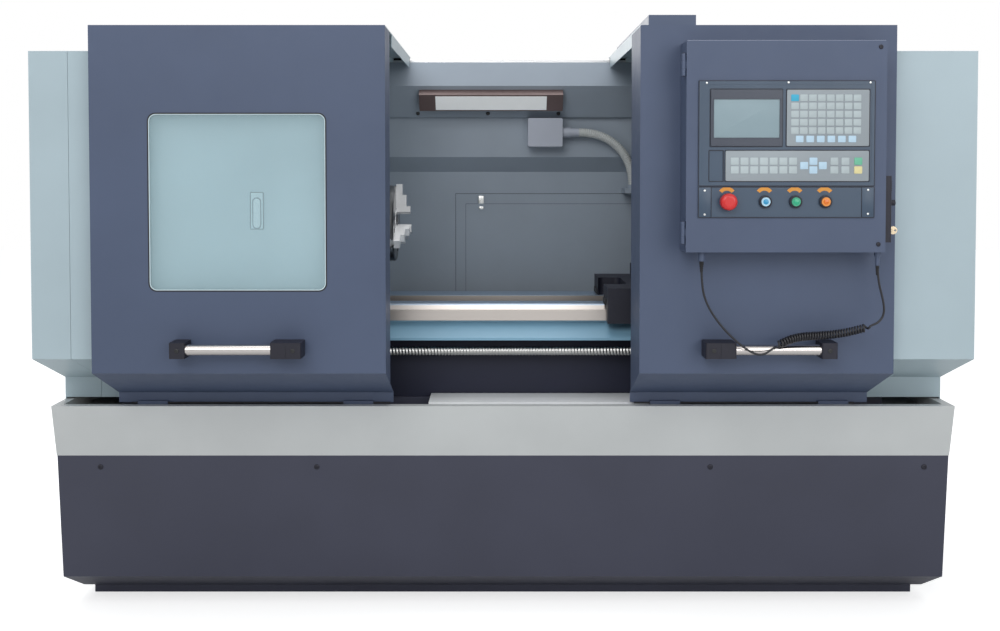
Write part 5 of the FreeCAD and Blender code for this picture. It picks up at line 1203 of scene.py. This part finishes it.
@dataclass
class MachineTrim:
    """Servo connectors, turret and tailstock screws, rear wall screws and the handwheel's cap."""

    turret: Point = (0.536, -0.150, 1.2240)
    screw_out: float = 0.084
    screw_pitch: float = 0.055

    def build(self) -> None:
        """Add screws and connectors."""
        for name, x, y, z, body in (("x_servo_plugs", 0.536, 0.330, 0.9858, "carriage"),
                                    ("z_servo_plugs", 1.285, -0.235, 0.8448, "machine")):
            plug = Bench.tube((0, 0, 0), "z", 0.020, 0.0115, 32, 0.002)
            nut = Bench.tube((0, 0, 0.006), "z", 0.008, 0.0135, 12, 0.001)
            spots = [(x, y + shift, z) for shift in (-0.018, 0.018)]
            hang(name, Bench.copies(Bench.weld([plug, nut]), spots), body, Kit.MOTOR)
        self._turret()
        spots = [(0.9047, y, z) for y in (-0.052, 0.052) for z in (1.129, 1.233)]
        hang("tailstock_cap_screws", Bench.screws(spots, "-x", 0.0060, 0.0040), "tailstock", Kit.ZINC)
        for name, spots in (
                ("rear_flange_screws", [(-1.29 + i * 0.215, 0.4298, 1.722) for i in range(13)]),
                ("left_cover_screws", [(-1.2993, 0.4298, z) for z in (0.760, 1.000, 1.240, 1.480)])):
            hang(name, Bench.screws(spots, "y", 0.0065, 0.0035), "machine", Kit.ZINC)
        cap = Bench.tube((1.2105, 0, 1.181), "x", 0.004, 0.012, 32, 0.0015)
        hang("handwheel_hub_cap", cap, "handwheel", Kit.BLACK)

    def _turret(self) -> None:
        """Square-head clamp screws along the turret's four sides."""
        x, y, z = self.turret
        spots = []
        for side in (-self.screw_out, self.screw_out):
            for step in (-self.screw_pitch, 0, self.screw_pitch):
                spots += [(x + step, y + side, z), (x + side, y + step, z)]
        head = Bench.tube((0, 0, -FOOT), "z", 0.0140, 0.0088, 4)
        Bench.round_edges(head, 0.0012)
        hang("turret_clamp_screws", Bench.copies(head, spots), "turret", Kit.MOTOR)


ASSEMBLIES = (PanelCord(), Conduit(), OperatorPanel(), DoorTrim(), FrontScrews(), BallScrew(), Interior(),
              CabinetTrim(), MachineTrim())


# ------------------------------------------------------------------ CAD nodes
NODE_FINISHES: dict[Kit, tuple[str, ...]] = {
    Kit.SLATE: ("left_door", "right_door", "panel_backbox", "panel_cover"),
    Kit.BASE_SLATE: ("base_front_panel", "base_frame"),
    Kit.PALE: ("left_end_cover", "left_cabinet", "left_inner_wall", "right_cabinet", "electric_cabinet",
               "left_door_roof"),
    Kit.ROOF: ("right_door_roof",),
    Kit.TRAY: ("chip_tray",),
    Kit.SUMP: ("sump_cover",),
    Kit.BEAD: ("flush_latch",),
    Kit.BOX: ("junction_box",),
    Kit.COVER: ("screw_cover",),
    Kit.LAMP_BODY: ("lamp_housing",),
    Kit.WALL: ("rear_wall", "rear_hatch"),
    Kit.CASTING: ("headstock", "saddle", "turret_base", "tailstock_body", "cross_slide"),
    Kit.IRON: ("z_screw_supports",),
    Kit.BED: ("bed",),
    Kit.GROUND: ("door_rails", "turret_head"),
    Kit.TURNED: ("spindle", "motor_pulley", "tailstock_quill"),
    Kit.CHUCK: ("chuck_body",),
    Kit.JAW: ("chuck_jaw_1", "chuck_jaw_2", "chuck_jaw_3"),
    Kit.CHROME: ("left_handle_bar", "right_handle_bar", "tailstock_handwheel"),
    Kit.BLACK: ("left_handle_ends", "right_handle_ends", "panel_lock"),
    Kit.MOTOR: ("spindle_motor", "z_servo_motor", "x_servo_motor"),
    Kit.RUBBER: ("drive_belt",),
    Kit.GLASS: ("door_window",),
    Kit.LENS: ("lamp_lens",),
    Kit.PLATE: ("panel_plates",),
    Kit.SCREEN: ("lcd_screen",),
    Kit.RED: ("estop_button",),
    Kit.SKY: ("blue_button",),
    Kit.GREEN: ("green_button",),
    Kit.AMBER: ("orange_button",),
    Kit.BRASS: ("lock_key",),
}


def main() -> None:
    """Build the studio, dress the CAD nodes and add every piece."""
    logging.basicConfig(level=logging.INFO, format="%(name)s: %(message)s")
    Studio().build()
    for finish, nodes in NODE_FINISHES.items():
        for node in nodes:
            dress(node, finish)
    for assembly in ASSEMBLIES:
        assembly.build()


if __name__ == "__main__":
    main()
